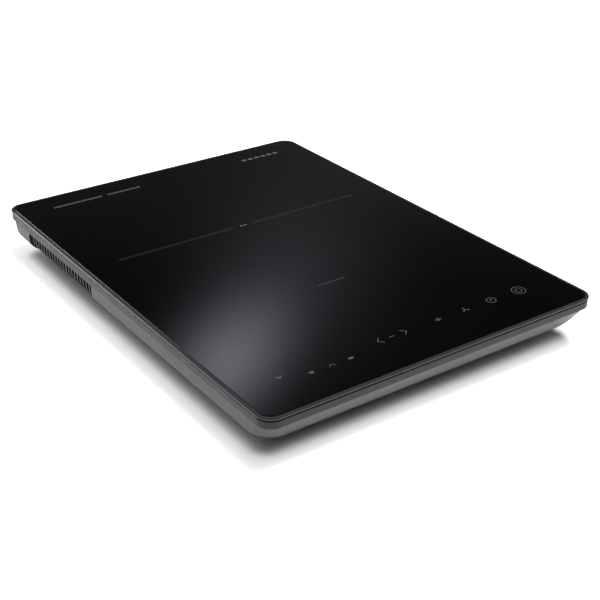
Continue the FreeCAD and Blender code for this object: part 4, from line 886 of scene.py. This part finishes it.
class COOKTOP_OT_touch_marks(bpy.types.Operator):
    """Print the pictograms over the touch pads and lights"""

    bl_idname = "cooktop.touch_marks"
    bl_label = "Touch marks"

    def execute(self, context):
        line = context.scene.cooktop_sizes.line_width
        keep, less, more, pan, menu, clock, power = centres("touch_pads")
        level = ((less[0] + more[0]) / 2, less[1])
        printed(self.drop(keep, line * 1.9), "mark_keep_warm")
        printed(self.chevron(less, -1, line * 1.2), "mark_less")
        printed([stroke(level, 0.0, 0.0, 4.2, line * 1.4)], "mark_level")
        printed(self.chevron(more, 1, line * 1.2), "mark_more")
        diamond = stroke(pan, 0.0, 0.0, 3.0, 3.0 * MM, SLANT)
        printed([diamond, stroke(pan, 0.0, 0.0, 6.0, line)], "mark_lock")
        arms = [
            stroke(menu, 0.0, 1.4, 3.2, line * 1.5, UPRIGHT),
            stroke(menu, -1.5, -0.9, 3.8, line * 1.5, SLANT * 0.8),
            stroke(menu, 1.5, -0.9, 3.8, line * 1.5, -SLANT * 0.8),
        ]
        printed(arms, "mark_programme")
        dial = [
            ring(*clock, 3.7 * MM, line),
            stroke(clock, 0.8, 0.4, 2.2, line, SLANT),
            stroke(clock, 0.0, 0.9, 2.4, line, UPRIGHT),
        ]
        printed(dial, "mark_timer")
        switch = [
            ring(*power, 5.4 * MM, line),
            ring(*power, 2.8 * MM, line, opening=math.radians(70)),
            stroke(power, 0.0, 1.9, 2.6, line, UPRIGHT),
        ]
        printed(switch, "mark_power")
        below = 6.7 * MM
        first, second, third = [(x, y - below) for x, y in centres("indicator_lights")]
        signs = [
            dot(*first, 1.4 * MM),
            stroke(first, -1.8, 0.6, 2.2, line, SLANT),
            stroke(second, -1.2, 0.0, 3.2, line, SLANT * 0.9),
            stroke(second, 1.2, 0.0, 3.2, line, -SLANT * 0.9),
            stroke(third, 0.0, 0.0, 4.2, 2.0 * MM),
        ]
        printed(signs, "mark_lights")
        return {"FINISHED"}

    def drop(self, middle, width):
        """Small heart-like drop made of two bars that meet at the front."""
        lean = math.pi / 3
        return [stroke(middle, side * 0.9, 0.0, 3.6, width, side * lean) for side in SIDES]

    def chevron(self, middle, way, width):
        """Arrow head that points left or right."""
        x, y = middle
        reach = 4.9 * MM
        shift = reach / 2 * math.sin(SLANT)
        return [
            bar(x, y + shift, reach, width, -way * SLANT),
            bar(x, y - shift, reach, width, way * SLANT),
        ]


class COOKTOP_OT_rear_marks(bpy.types.Operator):
    """Print the plain ticks and dashes along the rear of the glass"""

    bl_idname = "cooktop.rear_marks"
    bl_label = "Rear marks"

    def execute(self, context):
        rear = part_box("glass_plate")[1].y
        rows = (-108.1 * MM, 20), (-59.4 * MM, 14)
        pitch, length, width = 2.2, 3.2 * MM, 1.3 * MM
        ticks = [
            bar(start + step * pitch * MM, rear - 22.1 * MM, length, width, UPRIGHT)
            for start, count in rows
            for step in range(count)
        ]
        printed(ticks, "rear_ticks")
        start, pitch, length, width = 76.0 * MM, 6.6, 5.0 * MM, 3.4 * MM
        dashes = [
            bar(start + step * pitch * MM, rear - 21.9 * MM, length, width) for step in range(6)
        ]
        printed(dashes, "rear_dashes")
        return {"FINISHED"}


class COOKTOP_OT_feet(bpy.types.Operator):
    """Model one rubber foot with its dished, grooved base and set out all four"""

    bl_idname = "cooktop.feet"
    bl_label = "Feet"

    def execute(self, context):
        recess = context.scene.cooktop_sizes.foot_recess
        sole = 7.0 * MM
        # Each step: its rise and its new radius in millimetres.
        flare = (0.25, 7.5), (0.55, 7.8), (6.2, 9.0)
        stem = (0.0, 3.0), (2.2, 3.0), (0.0, 4.0), (2.4, 3.0)
        foot = disc(sole, 0.0, 56)
        grow(sole, [(rise * MM, radius * MM) for rise, radius in flare + stem])
        choose(foot, lambda face: face.calc_center_median().z < 0.01 * MM)
        # Each step: its inset in millimetres and its rise as a share of the recess.
        dish = (1.4, 0.0), (0.3, 1.0), (1.5, 0.0)
        groove = (0.25, -0.5), (0.5, 0.0), (0.25, 0.5)
        for inset, share in dish + groove:
            bpy.ops.mesh.inset(thickness=inset * MM)
            bpy.ops.transform.translate(value=(0, 0, share * recess))
        close(foot)
        feet = set_out(foot, [(x, y, 0.0) for x, y in centres("rubber_feet")])
        piece = settle(together(feet), "moulded_feet", "foot_rubber")
        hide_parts("rubber_feet")
        return {"FINISHED"}


class COOKTOP_OT_screws(bpy.types.Operator):
    """Model a cross-head screw of each length and set out every screw"""

    bl_idname = "cooktop.screws"
    bl_label = "Screws"

    def execute(self, context):
        sizes = context.scene.cooktop_sizes
        upside_down = ("housing_screws", "device_screws")
        for node in (*upside_down, "coil_screws", "fan_screws", "board_screws", "control_screws"):
            boxes = solids(node)
            low, high = boxes[0]
            screw = self.screw(sizes, (high.x - low.x) / 2, high.z - low.z)
            below = node in upside_down
            if below:
                select_only(screw)
                screw.rotation_euler = (math.pi, 0, 0)
                bpy.ops.object.transform_apply(location=False, rotation=True, scale=False)
            places = [(*centre(low, high), low.z if below else high.z) for low, high in boxes]
            name = node.replace("screws", "cross_screws")
            piece = settle(together(set_out(screw, places)), name, "screw_steel")
            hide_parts(node)
        return {"FINISHED"}

    def screw(self, sizes, head_radius, length):
        """Screw with the top of its head at the origin, its thread rings and its cross recess."""
        head, pitch, thread_depth = sizes.head_height, sizes.thread_pitch, 0.3 * MM
        shank = 0.53 * head_radius
        root = shank - thread_depth
        tip = root * 0.4
        rings = int((length - head) / pitch - 1)
        plain = length - head - (rings + 0.5) * pitch
        # Each step: its rise as a share of the pitch or head, and its radius.
        thread = (0.3, root), (0.3, shank), (0.1, shank), (0.3, root)
        dome = (0.0, 1.0), (0.45, 1.0), (0.25, 0.94), (0.18, 0.82), (0.12, 0.6)
        steps = [(0.5 * pitch, root)]
        steps += [(share * pitch, radius) for share, radius in thread] * rings
        steps.append((plain, root))
        steps += [(share * head, wide * head_radius) for share, wide in dome]
        piece = disc(tip, -length, 20)
        grow(tip, steps)
        close(piece)
        for turn in (0.0, UPRIGHT):
            carve(piece, self.blade(head_radius, head, turn))
        return piece

    def blade(self, head_radius, head_height, turn):
        """Wedge that cuts one arm of the cross recess."""
        clear_selection()
        bpy.ops.mesh.primitive_cube_add(size=1.0, location=(0, 0, -0.2 * head_height))
        blade = bpy.context.object
        blade.scale = (1.05 * head_radius, 0.24 * head_radius, 0.9 * head_height)
        blade.rotation_euler = (0, 0, turn)
        bpy.ops.object.transform_apply(location=True, rotation=True, scale=True)
        bpy.ops.object.mode_set(mode="EDIT")
        choose(blade, lambda face: face.normal.z < -0.9)
        bpy.ops.transform.resize(value=(0.6, 0.6, 1.0), center_override=(0, 0, 0))
        bpy.ops.object.mode_set(mode="OBJECT")
        return blade


class COOKTOP_OT_coil(bpy.types.Operator):
    """Wind the flat coil of twisted strands over the carrier"""

    bl_idname = "cooktop.coil"
    bl_label = "Coil"
    TURNS = 14
    STRANDS = 6
    HALF_WIDTH = 1.85 * MM

    def execute(self, context):
        sizes = context.scene.cooktop_sizes
        low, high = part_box("coil_winding")
        middle = centre(*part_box("mica_sheet"))
        outer = middle[0] - low.x - self.HALF_WIDTH
        bundle = bpy.data.curves.new("bundle", "CURVE")
        bundle.dimensions = "3D"
        bundle.twist_mode = "Z_UP"
        bundle.bevel_mode = "OBJECT"
        bundle.bevel_object = self.section((high.z - low.z) / 2)
        bundle.use_fill_caps = True
        line = bundle.splines.new("POLY")
        places = self.spiral(outer, sizes.coil_pitch, sizes.strand_lay)
        line.points.add(len(places) - 1)
        for point, (x, y, run) in zip(line.points, places):
            point.co = (x, y, 0.0, 1.0)
            point.tilt = math.tau * run / sizes.strand_lay
        coil = bpy.data.objects.new("coil", bundle)
        context.collection.objects.link(coil)
        select_only(coil)
        bpy.ops.object.convert(target="MESH")
        coil = context.object
        bpy.data.objects.remove(bpy.data.objects["coil_section"], do_unlink=True)
        bpy.ops.object.mode_set(mode="EDIT")
        close(coil, math.radians(80))
        coil.location = (*middle, (low.z + high.z) / 2)
        piece = settle(coil, "stranded_coil", "coil_copper")
        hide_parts("coil_winding")
        return {"FINISHED"}

    def spiral(self, outer, pitch, lay):
        """Places on the flat spiral, each with the length of coil that leads to it."""
        steps_in_lay = 24
        inner, step = outer - self.TURNS * pitch, lay / steps_in_lay
        angle, run, places = math.pi, 0.0, []
        while angle < math.pi + self.TURNS * math.tau:
            radius = inner + pitch * (angle - math.pi) / math.tau
            places.append((radius * math.cos(angle), radius * math.sin(angle), run))
            angle += step / radius
            run += step
        return places

    def section(self, radius):
        """Closed outline of the strands side by side in a ring."""
        notch = 0.84
        outline = bpy.data.curves.new("coil_section", "CURVE")
        outline.dimensions = "2D"
        line = outline.splines.new("POLY")
        line.points.add(2 * self.STRANDS - 1)
        line.use_cyclic_u = True
        for count, point in enumerate(line.points):
            reach = radius * (1.0 if count % 2 == 0 else notch)
            turn = math.pi * count / self.STRANDS
            point.co = (reach * math.cos(turn), reach * math.sin(turn), 0.0, 1.0)
        section = bpy.data.objects.new("coil_section", outline)
        bpy.context.collection.objects.link(section)
        return section


class COOKTOP_OT_stage(bpy.types.Operator):
    """Add the camera, the floor, the lamps and the dim room with its soft glow"""

    bl_idname = "cooktop.stage"
    bl_label = "Stage"
    SOFTBOX = (0.3, -0.15, 1.25), 0.7  # place and size
    SIDE_LAMP = (-0.46, 0.78, 0.31), 0.25

    def execute(self, context):
        studio = context.scene.cooktop_studio
        self.camera(context, studio)
        self.floor(studio)
        self.lamp(*self.SOFTBOX, studio.softbox).visible_glossy = False
        self.lamp(*self.SIDE_LAMP, studio.side_lamp)
        self.room(context)
        context.scene.view_settings.view_transform = "Standard"
        return {"FINISHED"}

    def camera(self, context, studio):
        """Camera that looks at the cooktop from the front left."""
        aim = Vector((-0.0033, -0.0327, 0.0081))
        turn, rise = studio.azimuth, studio.elevation
        back = Vector(
            (math.sin(turn) * math.cos(rise), -math.cos(turn) * math.cos(rise), math.sin(rise))
        )
        clear_selection()
        bpy.ops.object.camera_add(location=aim + back * studio.distance)
        camera = bpy.context.object
        camera.rotation_euler = (-back).to_track_quat("-Z", "Y").to_euler()
        camera.data.sensor_width = 36.0
        camera.data.lens = studio.lens
        camera.data.clip_start = 0.01
        context.scene.camera = camera

    def lamp(self, place, size, power):
        """Square lamp that shines at the foot of the cooktop's middle."""
        clear_selection()
        bpy.ops.object.light_add(type="AREA", location=place)
        lamp = bpy.context.object
        lamp.rotation_euler = Vector(place).to_track_quat("Z", "Y").to_euler()
        lamp.data.energy = power
        lamp.data.size = size
        return lamp

    def floor(self, studio):
        """Wide pale floor: real shadow near the cooktop, and a painted white glow shaped round it
        that sets where the shadow fades.
        """
        clear_selection()
        bpy.ops.mesh.primitive_plane_add(size=12.0, location=(0, 0, 0))
        floor = bpy.context.object
        floor.name = "floor"
        material, tree, shader, place = start_material("floor_paper")
        paint(tree, shader, cloud(tree, place, 0.4, 2.0), studio.floor, 0.01)
        shader.inputs["Roughness"].default_value = 1.0
        shader.inputs["Specular IOR Level"].default_value = 0.0
        rays = tree.nodes.new("ShaderNodeLightPath").outputs
        seen = highest(
            tree, rays["Is Camera Ray"], rays["Is Glossy Ray"], rays["Is Transmission Ray"]
        )
        # Painted light: camera-seen white glow that fades out round the cooktop and so shapes
        # where its shadow ends.
        white = maths(tree, "MULTIPLY", self.outside(tree, place), seen)
        shader.inputs["Emission Color"].default_value = WHITE
        tree.links.new(white, shader.inputs["Emission Strength"])
        floor.data.materials.append(material)

    def outside(self, tree, place):
        """Painted light on the floor: rises from nothing well under the cooktop to one near its
        outline, shaping the shadow's fall-off.
        """
        low, high = CAD_BOX
        reach = (Vector(high) - Vector(low)) / 2
        # lean moves the painted edge of the shadow towards the right.
        lean, side_margin, end_margin = 3.5 * MM, 18.5 * MM, 27.5 * MM
        core = (reach.x - side_margin + lean, reach.y - end_margin, 0.0)
        away = beyond(tree, place, (lean, 0.0, 0.0), core)
        share = levels(tree, away, 0.0, 1.0, 0.0, 45 * MM)
        # Fall-off of the painted shadow edge: share of the way out and the glow there.
        rise = (0.0, 0.0), (0.09, 0.03), (0.155, 0.08), (0.2, 0.17), (0.267, 0.34), (0.31, 0.48)
        tail = (0.355, 0.6), (0.42, 0.68), (0.53, 0.74), (0.71, 0.82), (1.0, 1.0)
        return curve(tree, share, rise + tail)

    def room(self, context):
        """Dim room: a cool glow that the glass mirrors, a far one, and grey near the horizon."""
        world = bpy.data.worlds.new("room")
        context.scene.world = world
        world.use_nodes = True
        tree = world.node_tree
        look = tree.nodes.new("ShaderNodeTexCoord").outputs["Generated"]
        main = self.glow(tree, look, (30.6, 31.4), (2.58, 1.48), -0.64, 1.54)
        wide = self.glow(tree, look, (34.4, 27.2), (3.35, 2.95), -0.64, 0.146)
        far = self.glow(tree, look, (44.0, 19.3), (4.4, 2.0), 0.0, 0.2)
        low = levels(tree, height_of(tree, look), 0.076, 0.0, 0.282, 0.46)
        cool = scaled(tree, (1.0, 0.98, 1.14), maths(tree, "ADD", main, wide))
        grey = scaled(tree, (1.0, 1.0, 1.03), maths(tree, "ADD", low, far))
        dim = vector_maths(tree, "ADD", cool, grey)
        light = mixed(tree, self.backdrop(tree, look), dim, WHITE)
        tree.links.new(light, tree.nodes["Background"].inputs["Color"])

    def backdrop(self, tree, look):
        """One where the room is plain white: for the camera, through glass, and low in gloss."""
        rays = tree.nodes.new("ShaderNodeLightPath").outputs
        low = levels(tree, height_of(tree, look), 1.0, 0.0, 0.05, 0.14)
        gloss = maths(tree, "MULTIPLY", low, rays["Is Glossy Ray"])
        return highest(tree, gloss, rays["Is Transmission Ray"], rays["Is Camera Ray"])

    def glow(self, tree, look, place, spread, turn, strength):
        """Bell-shaped glow in the room.

        place is its azimuth and height and spread its half width and half height, in degrees;
        turn is in radians.
        """
        a, e = map(math.radians, place)
        wide, tall = map(math.radians, spread)
        middle = (math.sin(a) * math.cos(e), math.cos(a) * math.cos(e), math.sin(e))
        along = Vector((math.cos(a), -math.sin(a), 0.0)) / math.cos(e)
        up = Vector((-math.sin(a) * math.sin(e), -math.cos(a) * math.sin(e), math.cos(e)))
        axes = (
            (along * math.cos(turn) + up * math.sin(turn)) / wide,
            (up * math.cos(turn) - along * math.sin(turn)) / tall,
        )
        squares = []
        for axis in axes:
            side = vector_maths(tree, "DOT_PRODUCT", look, axis, "Value")
            squares.append(maths(tree, "MULTIPLY", side, side))
        half = maths(tree, "MULTIPLY", maths(tree, "ADD", *squares), -0.5)
        bell = maths(tree, "EXPONENT", half, 0.0)
        facing = vector_maths(tree, "DOT_PRODUCT", look, middle, "Value")
        ahead = maths(tree, "GREATER_THAN", facing, 0.0)
        return maths(tree, "MULTIPLY", maths(tree, "MULTIPLY", bell, ahead), strength)


class COOKTOP_PT_panel(bpy.types.Panel):
    """Sidebar panel that lists the steps and their settings"""

    bl_label = "Cooktop"
    bl_idname = "COOKTOP_PT_panel"
    bl_space_type = "VIEW_3D"
    bl_region_type = "UI"
    bl_category = "Cooktop"

    def draw(self, context):
        layout = self.layout
        for group in ("cooktop_sizes", "cooktop_colours", "cooktop_studio"):
            settings = getattr(context.scene, group)
            box = layout.box()
            for name in settings.__annotations__:
                box.prop(settings, name)
        for step in STEPS:
            layout.operator(step)


STEPS = (
    "cooktop.stage",
    "cooktop.finishes",
    "cooktop.zone_marks",
    "cooktop.touch_marks",
    "cooktop.rear_marks",
    "cooktop.feet",
    "cooktop.screws",
    "cooktop.coil",
)
CLASSES = (
    CooktopSizes,
    CooktopColours,
    StudioSettings,
    COOKTOP_OT_stage,
    COOKTOP_OT_finishes,
    COOKTOP_OT_zone_marks,
    COOKTOP_OT_touch_marks,
    COOKTOP_OT_rear_marks,
    COOKTOP_OT_feet,
    COOKTOP_OT_screws,
    COOKTOP_OT_coil,
    COOKTOP_PT_panel,
)


def register():
    for item in CLASSES:
        bpy.utils.register_class(item)
    bpy.types.Scene.cooktop_sizes = PointerProperty(type=CooktopSizes)
    bpy.types.Scene.cooktop_colours = PointerProperty(type=CooktopColours)
    bpy.types.Scene.cooktop_studio = PointerProperty(type=StudioSettings)


def unregister():
    del bpy.types.Scene.cooktop_studio
    del bpy.types.Scene.cooktop_colours
    del bpy.types.Scene.cooktop_sizes
    for item in reversed(CLASSES):
        bpy.utils.unregister_class(item)


def main():
    register()
    for step in STEPS:
        group, name = step.split(".")
        getattr(getattr(bpy.ops, group), name)()
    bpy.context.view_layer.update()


if __name__ == "__main__":
    main()
